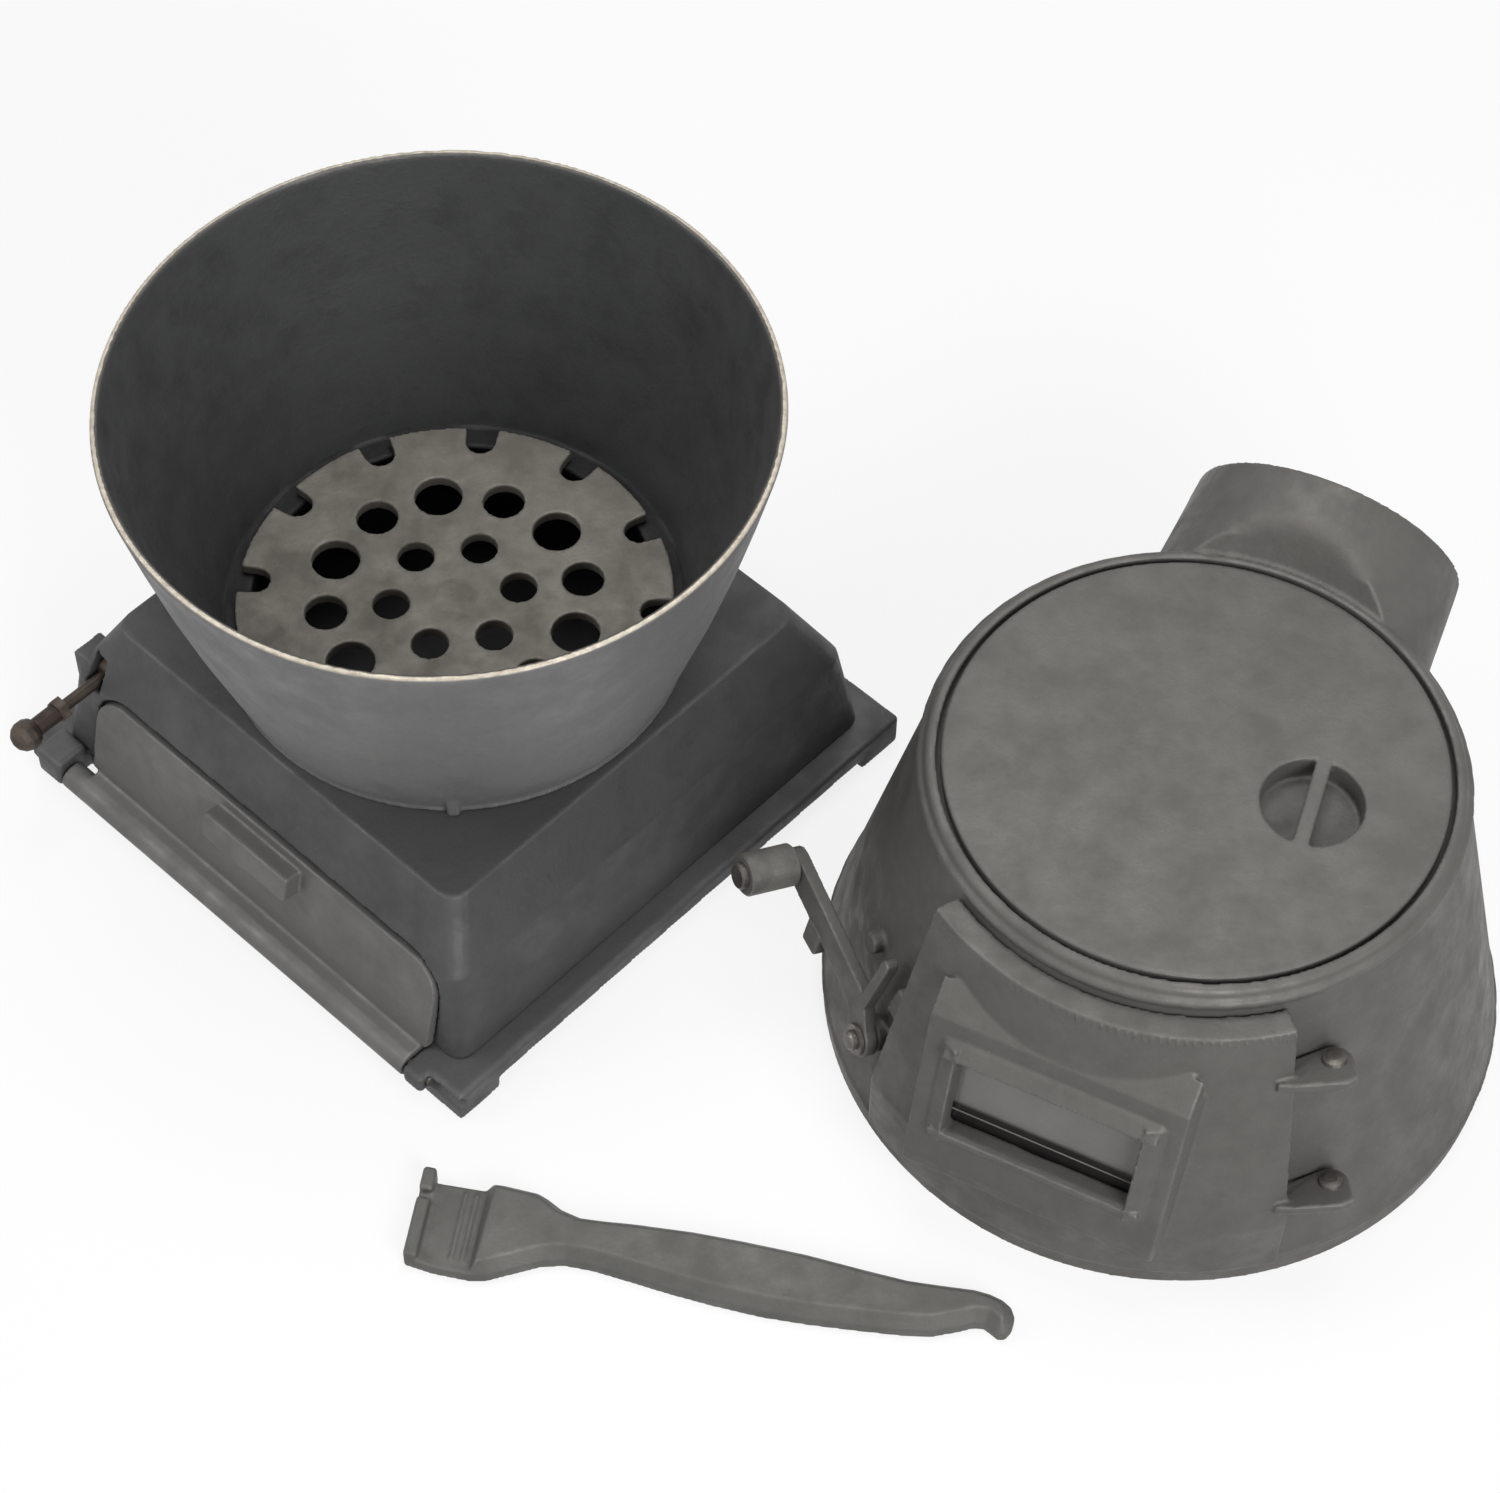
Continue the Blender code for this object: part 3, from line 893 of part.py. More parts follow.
lever = piece("latch_lever", prism("latch_lever", round_outline((0.0, 0.0), LEVER_EYE_RADIUS, 0.0, 345.0, 24), LATCH_LIFT, LATCH_LIFT + LEVER_THICK),
              latch, HOOD_IRON, 0.6, 0.6)
arm_inner = guide("lever_arm_inner", prism("lever_arm_inner", bar_outline((0.0, 0.0), LEVER_KNEE, LEVER_WIDTH), LATCH_LIFT, LATCH_LIFT + LEVER_THICK), latch)
arm_outer = guide("lever_arm_outer", prism("lever_arm_outer", bar_outline(LEVER_KNEE, LEVER_END, LEVER_WIDTH), LATCH_LIFT, LATCH_LIFT + LEVER_THICK), latch)
finger = guide("lever_finger", prism("lever_finger", bar_outline(FINGER_FROM, FINGER_TO, FINGER_WIDTH, 5), LATCH_LIFT, LATCH_LIFT + LEVER_THICK), latch)
lever_bore = guide("lever_bore", rod("lever_bore", LATCH_BOLT_RADIUS + SEAT, 0.05, 20), latch, at=(0.0, 0.0, -0.01))
grip_bore = guide("lever_grip_bore", rod("lever_grip_bore", GRIP_ROD_RADIUS + SEAT, 0.05, 20), latch, at=(*LEVER_END, -0.01))
join(lever, arm_inner, arm_outer, finger)
cut(lever, lever_bore, grip_bore)
lever_top = LATCH_LIFT + LEVER_THICK
washer_foot = lever_top + SEAT
turned_piece("latch_washer", [
    (LATCH_WASHER_RADIUS, LATCH_WASHER_THICK), (LATCH_WASHER_RADIUS, 0.0), (LATCH_BOLT_RADIUS + SEAT, 0.0), (LATCH_BOLT_RADIUS + SEAT, LATCH_WASHER_THICK)],
    latch, WORN_IRON, 0.5, 0.8, 28, True, at=(0.0, 0.0, washer_foot))
head_foot = washer_foot + LATCH_WASHER_THICK + SEAT
bolt_foot = LATCH_LIFT - bolt_depth
turned_piece("latch_pivot_bolt", [
    (0.0, head_foot + 0.0032), (LATCH_HEAD_RADIUS * 0.75, head_foot + 0.0030), (LATCH_HEAD_RADIUS, head_foot + 0.0020), (LATCH_HEAD_RADIUS, head_foot),
    (LATCH_BOLT_RADIUS, head_foot), (LATCH_BOLT_RADIUS, bolt_foot), (0.0, bolt_foot)], latch, WORN_IRON, 0.5, 0.8, 20)

# Crank grip: a loose sleeve on a headed rod
grip_place = empty("grip_place", latch, at=(*LEVER_END, 0.0))
grip_foot = lever_top + SEAT
grip_bore_radius = GRIP_ROD_RADIUS + SEAT
turned_piece("crank_grip", [
    (GRIP_RADIUS - 0.0008, GRIP_LENGTH), (GRIP_RADIUS, GRIP_LENGTH - 0.0008), (GRIP_RADIUS, 0.0008), (GRIP_RADIUS - 0.0008, 0.0),
    (grip_bore_radius, 0.0), (grip_bore_radius, GRIP_LENGTH)], grip_place, HOOD_IRON, 0.55, 0.6, 32, True, at=(0.0, 0.0, grip_foot))
rod_head = grip_foot + GRIP_LENGTH + SEAT
turned_piece("crank_rod", [
    (0.0, rod_head + 0.0030), (GRIP_HEAD_RADIUS - 0.0008, rod_head + 0.0030), (GRIP_HEAD_RADIUS, rod_head + 0.0022), (GRIP_HEAD_RADIUS, rod_head),
    (GRIP_ROD_RADIUS, rod_head), (GRIP_ROD_RADIUS, LATCH_LIFT), (0.0, LATCH_LIFT)], grip_place, WORN_IRON, 0.5, 0.8, 20)

# Lifting handle, lying flat: a wide toe with an upturned lip, a waist, and a long blade with a spur
handle_outline = [
    (0.0000, -0.0250), (0.0140, -0.0270), (0.0300, -0.0268), (0.0400, -0.0230), (0.0500, -0.0183), (0.0620, -0.0140), (0.0720, -0.0130),
    (0.0900, -0.0162), (0.1100, -0.0188), (0.1350, -0.0197), (0.1600, -0.0195), (0.1850, -0.0180), (0.2100, -0.0163), (0.2300, -0.0140),
    (0.2400, -0.0115), (0.2500, -0.0092), (0.2580, -0.0115), (0.2650, -0.0120), (0.2690, -0.0080), (0.2690, 0.0000), (0.2660, 0.0080),
    (0.2600, 0.0125), (0.2450, 0.0130), (0.2250, 0.0120), (0.2000, 0.0135), (0.1700, 0.0150), (0.1350, 0.0158), (0.1000, 0.0152),
    (0.0800, 0.0145), (0.0700, 0.0160), (0.0600, 0.0205), (0.0530, 0.0230), (0.0400, 0.0245), (0.0330, 0.0250), (0.0300, 0.0188),
    (0.0110, 0.0185), (0.0075, 0.0200), (0.0068, 0.0265), (0.0000, 0.0265)]
handle = piece("lifting_handle", prism("lifting_handle", handle_outline, 0.0, HANDLE_THICK), handle_place, HOOD_IRON, 0.6, 0.6)
round_off = handle.modifiers.new("Round", "BEVEL")
round_off.width = HANDLE_EDGE_ROUND
round_off.segments = 3
round_off.limit_method = "ANGLE"
round_off.angle_limit = math.radians(60.0)
toe_cut = guide("handle_toe_cut", block("handle_toe_cut", (HANDLE_LIP_LENGTH, -0.05, HANDLE_TOE_THICK), (HANDLE_TOE_LENGTH, 0.05, 0.05)), handle_place)
lip_cut = guide("handle_lip_cut", block("handle_lip_cut", (-0.05, -0.05, HANDLE_LIP_HEIGHT), (HANDLE_TOE_LENGTH, 0.05, 0.05)), handle_place)
cut(handle, toe_cut, lip_cut)
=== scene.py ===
import math

import bmesh
import bpy
from mathutils import Matrix, Vector


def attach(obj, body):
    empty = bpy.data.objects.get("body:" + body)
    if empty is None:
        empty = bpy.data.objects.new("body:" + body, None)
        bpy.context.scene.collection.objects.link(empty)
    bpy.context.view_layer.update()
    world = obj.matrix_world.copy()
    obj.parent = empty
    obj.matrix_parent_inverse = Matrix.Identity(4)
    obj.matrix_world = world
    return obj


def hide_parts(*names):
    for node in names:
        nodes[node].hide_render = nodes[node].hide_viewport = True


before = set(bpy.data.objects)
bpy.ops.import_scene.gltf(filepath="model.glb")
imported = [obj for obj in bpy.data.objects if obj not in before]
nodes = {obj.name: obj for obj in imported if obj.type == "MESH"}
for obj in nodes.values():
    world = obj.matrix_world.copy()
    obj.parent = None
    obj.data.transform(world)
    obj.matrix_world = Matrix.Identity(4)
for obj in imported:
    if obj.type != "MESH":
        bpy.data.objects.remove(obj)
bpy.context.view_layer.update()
print("frame loaded:", len(nodes), "nodes")

# Where the three groups stand, as the frame has them
placing = {
    "baseAt": (-0.1396, 0.0524),
    "baseTurn": math.radians(47.8),
    "hoodAt": (0.1936, -0.0766),
    "hoodTurn": math.radians(-25.0),
    "handleAt": (-0.1480, -0.2126),
    "handleTurn": math.radians(-8.5),
}


def groundPlace(at, turn):
    return Matrix.Translation((at[0], at[1], 0.0)) @ Matrix.Rotation(turn, 4, "Z")


basePlace = groundPlace(placing["baseAt"], placing["baseTurn"])
hoodPlace = groundPlace(placing["hoodAt"], placing["hoodTurn"])
handlePlace = groundPlace(placing["handleAt"], placing["handleTurn"])


# Camera, floor and light
cameraView = {
    "at": (-0.0005, -1.0696, 1.5679),
    "down": math.radians(54.3175),
    "roll": math.radians(1.281),
    "focalPixels": 3924.5,
    "imageWidth": 1500.0,
    "sensor": 36.0,
}


def makeCamera(view):
    data = bpy.data.cameras.new("photoCamera")
    data.sensor_width = view["sensor"]
    data.lens = view["focalPixels"] * view["sensor"] / view["imageWidth"]
    data.clip_end = 20.0
    camera = bpy.data.objects.new("photoCamera", data)
    bpy.context.scene.collection.objects.link(camera)
    up = Vector((0.0, math.sin(view["down"]), math.cos(view["down"])))
    forward = Vector((0.0, math.cos(view["down"]), -math.sin(view["down"])))
    level = Vector((1.0, 0.0, 0.0))
    right = level * math.cos(view["roll"]) + up * math.sin(view["roll"])
    top = up * math.cos(view["roll"]) - level * math.sin(view["roll"])
    turn = Matrix((right, top, -forward)).transposed().to_4x4()
    camera.matrix_world = Matrix.Translation(view["at"]) @ turn
    bpy.context.scene.camera = camera


makeCamera(cameraView)
bpy.context.scene.view_settings.view_transform = "Standard"

studio = {
    "floorColour": (0.92, 0.92, 0.92),
    "floorGlow": 0.82,
    "floorBounce": 0.35,
    "worldStrength": 0.22,
    "keyPower": 11.0,
    "keySize": 0.9,
    "keyAt": (-1.6, -0.1, 1.45),
    "fillPower": 27.0,
    "fillSize": 1.0,
    "fillAt": (0.75, -1.55, 1.15),
    "backPower": 17.0,
    "backSize": 1.1,
    "backAt": (0.1, 0.35, 2.1),
}


def areaLight(name, at, size, power):
    data = bpy.data.lights.new(name, "AREA")
    data.size = size
    data.energy = power
    lamp = bpy.data.objects.new(name, data)
    lamp.location = at
    lamp.rotation_euler = (Vector((0.0, 0.0, 0.1)) - Vector(at)).to_track_quat("-Z", "Y").to_euler()
    bpy.context.scene.collection.objects.link(lamp)


areaLight("keyLight", studio["keyAt"], studio["keySize"], studio["keyPower"])
areaLight("fillLight", studio["fillAt"], studio["fillSize"], studio["fillPower"])
areaLight("backLight", studio["backAt"], studio["backSize"], studio["backPower"])


# Lets the white background show to the camera, in gloss and through glass
def shownTo(tree):
    path = tree.nodes.new("ShaderNodeLightPath")
    seen = path.outputs["Is Camera Ray"]
    for kind in ("Is Transmission Ray", "Is Glossy Ray"):
        added = tree.nodes.new("ShaderNodeMath")
        added.operation = "ADD"
        added.use_clamp = True
        tree.links.new(seen, added.inputs[0])
        tree.links.new(path.outputs[kind], added.inputs[1])
        seen = added.outputs[0]
    return seen


def makeWorld(strength):
    world = bpy.data.worlds.new("studioWorld")
    world.use_nodes = True
    tree = world.node_tree
    tree.nodes.clear()
    out = tree.nodes.new("ShaderNodeOutputWorld")
    mix = tree.nodes.new("ShaderNodeMixShader")
    light = tree.nodes.new("ShaderNodeBackground")
    shown = tree.nodes.new("ShaderNodeBackground")
    light.inputs["Strength"].default_value = strength
    light.inputs["Color"].default_value = (1.0, 1.0, 1.0, 1.0)
    shown.inputs["Color"].default_value = (1.0, 1.0, 1.0, 1.0)
    tree.links.new(shownTo(tree), mix.inputs["Fac"])
    tree.links.new(light.outputs[0], mix.inputs[1])
    tree.links.new(shown.outputs[0], mix.inputs[2])
    tree.links.new(mix.outputs[0], out.inputs["Surface"])
    bpy.context.scene.world = world


makeWorld(studio["worldStrength"])


def makeFloor(colour, bounce, glowShare):
    bm = bmesh.new()
    bmesh.ops.create_grid(bm, x_segments=1, y_segments=1, size=6.0)
    bmesh.ops.translate(bm, vec=(0.0, 0.0, -0.0002), verts=bm.verts)
    mesh = bpy.data.meshes.new("floor")
    bm.to_mesh(mesh)
    bm.free()
    floor = bpy.data.objects.new("floor", mesh)
    bpy.context.scene.collection.objects.link(floor)
    paint = bpy.data.materials.new("floorPaint")
    paint.use_nodes = True
    tree = paint.node_tree
    shader = tree.nodes["Principled BSDF"]
    shader.inputs["Roughness"].default_value = 0.9
    glow = tree.nodes.new("ShaderNodeEmission")
    glow.inputs["Color"].default_value = (1.0, 1.0, 1.0, 1.0)
    both = tree.nodes.new("ShaderNodeMixShader")
    shown = shownTo(tree)
    tint = tree.nodes.new("ShaderNodeMix")
    tint.data_type = "RGBA"
    tint.inputs["A"].default_value = (bounce, bounce, bounce, 1.0)
    tint.inputs["B"].default_value = (*colour, 1.0)
    tree.links.new(shown, tint.inputs["Factor"])
    tree.links.new(tint.outputs["Result"], shader.inputs["Base Color"])
    seen = tree.nodes.new("ShaderNodeMath")
    seen.operation = "MULTIPLY"
    seen.inputs[1].default_value = glowShare
    tree.links.new(shown, seen.inputs[0])
    tree.links.new(seen.outputs[0], both.inputs["Fac"])
    tree.links.new(shader.outputs[0], both.inputs[1])
    tree.links.new(glow.outputs[0], both.inputs[2])
    tree.links.new(both.outputs[0], tree.nodes["Material Output"].inputs["Surface"])
    mesh.materials.append(paint)


makeFloor(studio["floorColour"], studio["floorBounce"], studio["floorGlow"])
print("studio made")


# Materials: the cast iron finishes, black and brown steel, and the smoked pane
def link(tree, fromSocket, toSocket):
    tree.links.new(fromSocket, toSocket)


def noise(tree, coords, scale, detail=6.0, roughness=0.6):
    made = tree.nodes.new("ShaderNodeTexNoise")
    made.inputs["Scale"].default_value = scale
    made.inputs["Detail"].default_value = detail
    made.inputs["Roughness"].default_value = roughness
    link(tree, coords, made.inputs["Vector"])
    return made.outputs["Fac"]


def ramp(tree, value, low, high, lowOut=0.0, highOut=1.0):
    made = tree.nodes.new("ShaderNodeMapRange")
    made.inputs["From Min"].default_value = low
    made.inputs["From Max"].default_value = high
    made.inputs["To Min"].default_value = lowOut
    made.inputs["To Max"].default_value = highOut
    link(tree, value, made.inputs["Value"])
    return made.outputs["Result"]


def mixColour(tree, amount, first, second):
    made = tree.nodes.new("ShaderNodeMix")
    made.data_type = "RGBA"
    for place, value in (("Factor", amount), ("A", first), ("B", second)):
        socket = made.inputs[place]
        if isinstance(value, (int, float)):
            socket.default_value = value
        elif isinstance(value, tuple):
            socket.default_value = (*value, 1.0)
        else:
            link(tree, value, socket)
    return made.outputs["Result"]


def maths(tree, kind, first, second):
    made = tree.nodes.new("ShaderNodeMath")
    made.operation = kind
    for socket, value in zip(made.inputs, (first, second)):
        if isinstance(value, (int, float)):
            socket.default_value = value
        else:
            link(tree, value, socket)
    return made.outputs["Value"]


# Bare, pale metal above a height, with a ragged lower edge
def bareRim(tree, coords, rim, colour, rough):
    split = tree.nodes.new("ShaderNodeSeparateXYZ")
    link(tree, coords, split.inputs["Vector"])
    wander = ramp(tree, noise(tree, coords, 60.0), 0.0, 1.0, -rim["ragged"], rim["ragged"])
    bare = ramp(tree, maths(tree, "ADD", split.outputs["Z"], wander), rim["from"], rim["to"])
    tone = mixColour(tree, ramp(tree, noise(tree, coords, 220.0), 0.35, 0.65), rim["dark"], rim["pale"])
    colour = mixColour(tree, bare, colour, tone)
    return colour, maths(tree, "SUBTRACT", rough, maths(tree, "MULTIPLY", bare, 0.12))


# Painted shade: a darker inner wall where the bowl shades itself, and painted black shade at its foot in the
# gap round the grate
def paintedShadeInside(tree, place, soot, colour):
    coords = place.outputs["Object"]
    shift = tree.nodes.new("ShaderNodeMapping")
    shift.inputs["Location"].default_value = (-soot["at"][0], -soot["at"][1], 0.0)
    shift.inputs["Scale"].default_value = (1.0, 1.0, 0.0)
    link(tree, coords, shift.inputs["Vector"])
    reach = tree.nodes.new("ShaderNodeVectorMath")
    reach.operation = "LENGTH"
    link(tree, shift.outputs["Vector"], reach.inputs[0])
    level = tree.nodes.new("ShaderNodeSeparateXYZ")
    link(tree, coords, level.inputs["Vector"])
    facing = tree.nodes.new("ShaderNodeVectorMath")
    facing.operation = "DOT_PRODUCT"
    link(tree, shift.outputs["Vector"], facing.inputs[0])
    link(tree, place.outputs["Normal"], facing.inputs[1])
    shadedFacingIn = ramp(tree, facing.outputs["Value"], -0.010, -0.040)
    colour = mixColour(tree, maths(tree, "MULTIPLY", shadedFacingIn, 0.9), colour, soot["wall"])
    shadeWithinRadius = ramp(tree, reach.outputs["Value"], soot["radius"], soot["radius"] - 0.001)
    low = ramp(tree, level.outputs["Z"], soot["top"], soot["foot"])
    return mixColour(tree, maths(tree, "MULTIPLY", shadeWithinRadius, low), colour, soot["black"])


# Cast iron: mottled colour, a sandy grain, pits and pale worn edges, and painted shade inside when soot
# settings are given
def castFinish(name, colours, roughness=(0.45, 0.72), metallic=0.35, grain=0.00022,
               wear=0.5, rim=None, streaks=0.0, soot=None):
    made = bpy.data.materials.new(name)
    made.use_nodes = True
    tree = made.node_tree
    shader = tree.nodes["Principled BSDF"]
    place = tree.nodes.new("ShaderNodeTexCoord")
    coords = place.outputs["Object"]
    broad = ramp(tree, noise(tree, coords, 5.0, 3.0), 0.30, 0.72)
    patch = ramp(tree, noise(tree, coords, 46.0, 7.0, 0.65), 0.36, 0.66)
    sand = noise(tree, coords, 520.0, 5.0, 0.7)
    colour = mixColour(tree, broad, colours["dark"], colours["plain"])
    colour = mixColour(tree, maths(tree, "MULTIPLY", patch, 0.55), colour, colours["pale"])
    speck = ramp(tree, sand, 0.62, 0.74)
    colour = mixColour(tree, maths(tree, "MULTIPLY", speck, 0.35), colour, colours["worn"])
    geometry = tree.nodes.new("ShaderNodeNewGeometry")
    edge = ramp(tree, geometry.outputs["Pointiness"], 0.515, 0.60)
    scratched = maths(tree, "MULTIPLY", edge, ramp(tree, noise(tree, coords, 85.0, 5.0), 0.32, 0.62))
    colour = mixColour(tree, maths(tree, "MULTIPLY", scratched, wear), colour, colours["worn"])
    height = maths(tree, "ADD", maths(tree, "MULTIPLY", sand, 0.6), maths(tree, "MULTIPLY", patch, 0.8))
    if streaks:
        stretch = tree.nodes.new("ShaderNodeMapping")
        stretch.inputs["Scale"].default_value = (1.0, 1.0, 0.06)
        link(tree, coords, stretch.inputs["Vector"])
        lines = ramp(tree, noise(tree, stretch.outputs["Vector"], 150.0, 3.0), 0.45, 0.75)
        colour = mixColour(tree, maths(tree, "MULTIPLY", lines, streaks), colour, colours["worn"])
    rough = ramp(tree, patch, 0.0, 1.0, roughness[1], roughness[0])
    if rim:
        colour, rough = bareRim(tree, coords, rim, colour, rough)
    # The soot settings paint shade inside the pot: a darker inner wall and black in the gap round the grate
    if soot:
        colour = paintedShadeInside(tree, place, soot, colour)
    link(tree, colour, shader.inputs["Base Color"])
    link(tree, rough, shader.inputs["Roughness"])
    shader.inputs["Metallic"].default_value = metallic
    bump = tree.nodes.new("ShaderNodeBump")
    bump.inputs["Strength"].default_value = 1.0
    bump.inputs["Distance"].default_value = grain
    link(tree, height, bump.inputs["Height"])
    link(tree, bump.outputs["Normal"], shader.inputs["Normal"])
    return made


darkIron = castFinish("darkIron", {
    "dark": (0.065, 0.065, 0.068), "plain": (0.074, 0.074, 0.077),
    "pale": (0.086, 0.086, 0.086), "worn": (0.153, 0.147, 0.135)})
potRim = {
    "from": 0.2580, "to": 0.2590, "ragged": 0.0005,
    "dark": (0.40, 0.35, 0.28), "pale": (0.60, 0.54, 0.45),
}
# Painted shade inside the fire pot: the inner wall's darker tone and the black round the grate
potInsideShade = {
    "at": placing["baseAt"], "radius": 0.1082, "top": 0.1200, "foot": 0.1150,
    "wall": (0.046, 0.047, 0.048), "black": (0.006, 0.006, 0.006),
}
potIron = castFinish("potIron", {
    "dark": (0.149, 0.150, 0.152), "plain": (0.170, 0.172, 0.173),
    "pale": (0.196, 0.193, 0.191), "worn": (0.382, 0.362, 0.333)},
    wear=0.2, streaks=0.05, soot=potInsideShade, rim=potRim)
# Painted light: the ash door's iron is a paler copy of the ash box's, for the light that falls on the door
ashDoorLitIron = castFinish("ashDoorLitIron", {
    "dark": (0.135, 0.132, 0.130), "plain": (0.150, 0.147, 0.144),
    "pale": (0.165, 0.161, 0.157), "worn": (0.220, 0.215, 0.205)}, wear=0.3)
grateIron = castFinish("grateIron", {
    "dark": (0.149, 0.138, 0.119), "plain": (0.203, 0.190, 0.166),
    "pale": (0.270, 0.254, 0.224), "worn": (0.446, 0.412, 0.358)}, roughness=(0.5, 0.8), grain=0.00035)
hoodIron = castFinish("hoodIron", {
    "dark": (0.098, 0.094, 0.088), "plain": (0.106, 0.102, 0.095),
    "pale": (0.117, 0.111, 0.103), "worn": (0.250, 0.240, 0.220)}, wear=0.55)
lidIron = castFinish("lidIron", {
    "dark": (0.105, 0.103, 0.096), "plain": (0.109, 0.107, 0.100),
    "pale": (0.115, 0.112, 0.104), "worn": (0.180, 0.176, 0.160)}, wear=0.15)
handleIron = castFinish("handleIron", {
    "dark": (0.104, 0.103, 0.096), "plain": (0.113, 0.111, 0.104),
    "pale": (0.124, 0.121, 0.113), "worn": (0.240, 0.232, 0.212)})
steel = castFinish("blackSteel", {
    "dark": (0.035, 0.033, 0.031), "plain": (0.058, 0.054, 0.051),
    "pale": (0.090, 0.083, 0.076), "worn": (0.260, 0.240, 0.215)},
    roughness=(0.35, 0.6), metallic=0.7, grain=0.0001, wear=0.7)
brownSteel = castFinish("brownSteel", {
    "dark": (0.022, 0.015, 0.012), "plain": (0.040, 0.029, 0.023),
    "pale": (0.075, 0.056, 0.045), "worn": (0.200, 0.160, 0.130)},
    roughness=(0.4, 0.65), metallic=0.6, grain=0.0002, wear=0.6)


# Smoked heat glass, with painted shadow towards its lower edge and a painted reflection as a bright line
# across that shadow
pane = {
    "shadowTop": 0.0845, "shadowFoot": 0.0825, "reflectionAt": 0.0788, "reflectionHalf": 0.0004,
    "dark": (0.105, 0.099, 0.093), "pale": (0.150, 0.142, 0.133), "black": (0.012, 0.011, 0.011),
    "paintedReflection": (0.42, 0.40, 0.37),
}


def paneFinish():
    made = bpy.data.materials.new("smokedPane")
    made.use_nodes = True
    tree = made.node_tree
    shader = tree.nodes["Principled BSDF"]
    coords = tree.nodes.new("ShaderNodeTexCoord").outputs["Object"]
    soot = ramp(tree, noise(tree, coords, 30.0, 5.0), 0.35, 0.7)
    colour = mixColour(tree, soot, pane["dark"], pane["pale"])
    split = tree.nodes.new("ShaderNodeSeparateXYZ")
    link(tree, coords, split.inputs["Vector"])
    # Painted shadow: the pane goes black towards its lower edge
    low = ramp(tree, split.outputs["Z"], pane["shadowTop"], pane["shadowFoot"])
    colour = mixColour(tree, low, colour, pane["black"])
    # Painted reflection: a thin bright line across the pane
    paintedReflection = maths(tree, "COMPARE", split.outputs["Z"], pane["reflectionAt"])
    paintedReflection.node.inputs[2].default_value = pane["reflectionHalf"]
    colour = mixColour(tree, maths(tree, "MULTIPLY", paintedReflection, 0.5), colour, pane["paintedReflection"])
    link(tree, colour, shader.inputs["Base Color"])
    link(tree, ramp(tree, soot, 0.0, 1.0, 0.16, 0.34), shader.inputs["Roughness"])
    shader.inputs["Coat Weight"].default_value = 0.4
    shader.inputs["Coat Roughness"].default_value = 0.08
    return made


smokedPane = paneFinish()

finishes = {
    "base_plate": darkIron, "ash_box": darkIron, "ash_door": ashDoorLitIron, "pane_frame": darkIron,
    "fire_pot": potIron, "grate": grateIron, "hood": hoodIron, "fire_door": hoodIron, "lid": lidIron,
    "window_pane": smokedPane, "latch_lever": hoodIron, "crank_grip": hoodIron,
    "lifting_handle": handleIron, "ash_latch_bolt": brownSteel, "ash_latch_nut": brownSteel,
}
for name, obj in nodes.items():
    obj.data.materials.clear()
    obj.data.materials.append(finishes.get(name, steel))
print("finishes on every node")


# Castings: the frame's solids given the soft edges, fillets and small features of a sand casting
def weldedCopy(node):
    bm = bmesh.new()
    bm.from_mesh(nodes[node].data)
    bmesh.ops.remove_doubles(bm, verts=bm.verts, dist=0.00001)
    return bm


# A box between two corners of a placing frame
def block(bm, place, low, high, edge=0.0):
    middle = (Vector(low) + Vector(high)) / 2.0
    size = Vector(high) - Vector(low)
    shape = place @ Matrix.Translation(middle) @ Matrix.Diagonal((*size, 1.0))
    made = bmesh.ops.create_cube(bm, size=1.0, matrix=shape)
    if edge:
        edges = list({e for v in made["verts"] for e in v.link_edges})
        bmesh.ops.bevel(bm, geom=edges, offset=edge, segments=2, profile=0.5, affect="EDGES",
                        material=-1)


# A round post along a placing frame's Z
def post(bm, place, radius, low, high, sides=32):
    shape = place @ Matrix.Translation((0.0, 0.0, (low + high) / 2.0))
    bmesh.ops.create_cone(bm, cap_ends=True, segments=sides, radius1=radius, radius2=radius,
                          depth=high - low, matrix=shape)


# A round bead laid in a ring about a placing frame's Z
def bead(bm, place, radius, height, thick, sides=10, steps=160):
    upright = place @ Matrix.Translation((radius, 0.0, height)) @ Matrix.Rotation(math.pi / 2.0, 4, "X")
    ring = bmesh.ops.create_circle(bm, segments=sides, radius=thick, cap_ends=False, matrix=upright)
    edges = list({e for v in ring["verts"] for e in v.link_edges})
    bmesh.ops.spin(bm, geom=ring["verts"] + edges, cent=place.translation,
                   axis=place.to_3x3().col[2], dvec=(0.0, 0.0, 0.0), angle=2.0 * math.pi, steps=steps,
                   use_merge=True, use_duplicate=False)
    bmesh.ops.remove_doubles(bm, verts=bm.verts, dist=0.00001)


# The object's mesh with its modifiers applied
def evaluated(obj):
    made = bpy.data.meshes.new_from_object(obj.evaluated_get(bpy.context.evaluated_depsgraph_get()))
    obj.modifiers.clear()
    obj.data = made


# Moves points from the flats of a faceted turned surface out to its true circle
def trueRound(mesh, place, steps, low, high):
    inward = place.inverted()
    half = math.pi / steps
    for vert in mesh.vertices:
        spot = inward @ vert.co
        if not low <= spot.z <= high:
            continue
        angle = math.atan2(spot.y, spot.x)
        across = (angle % (2.0 * half)) - half
        grow = math.cos(across) / math.cos(half)
        vert.co = place @ Vector((spot.x * grow, spot.y * grow, spot.z))


# Part of a turned ring between two angles, from its radius and height profile
def sector(bm, place, profile, start, end, steps=48):
    turn = Matrix.Rotation(start, 4, "Z")
    first = [bm.verts.new(place @ turn @ Vector((radius, 0.0, height))) for radius, height in profile]
    face = bm.faces.new(first)
    bmesh.ops.spin(bm, geom=[face] + list(face.edges) + first, cent=place.translation,
                   axis=(0.0, 0.0, 1.0), dvec=(0.0, 0.0, 0.0), angle=end - start, steps=steps,
                   use_merge=False, use_duplicate=True)


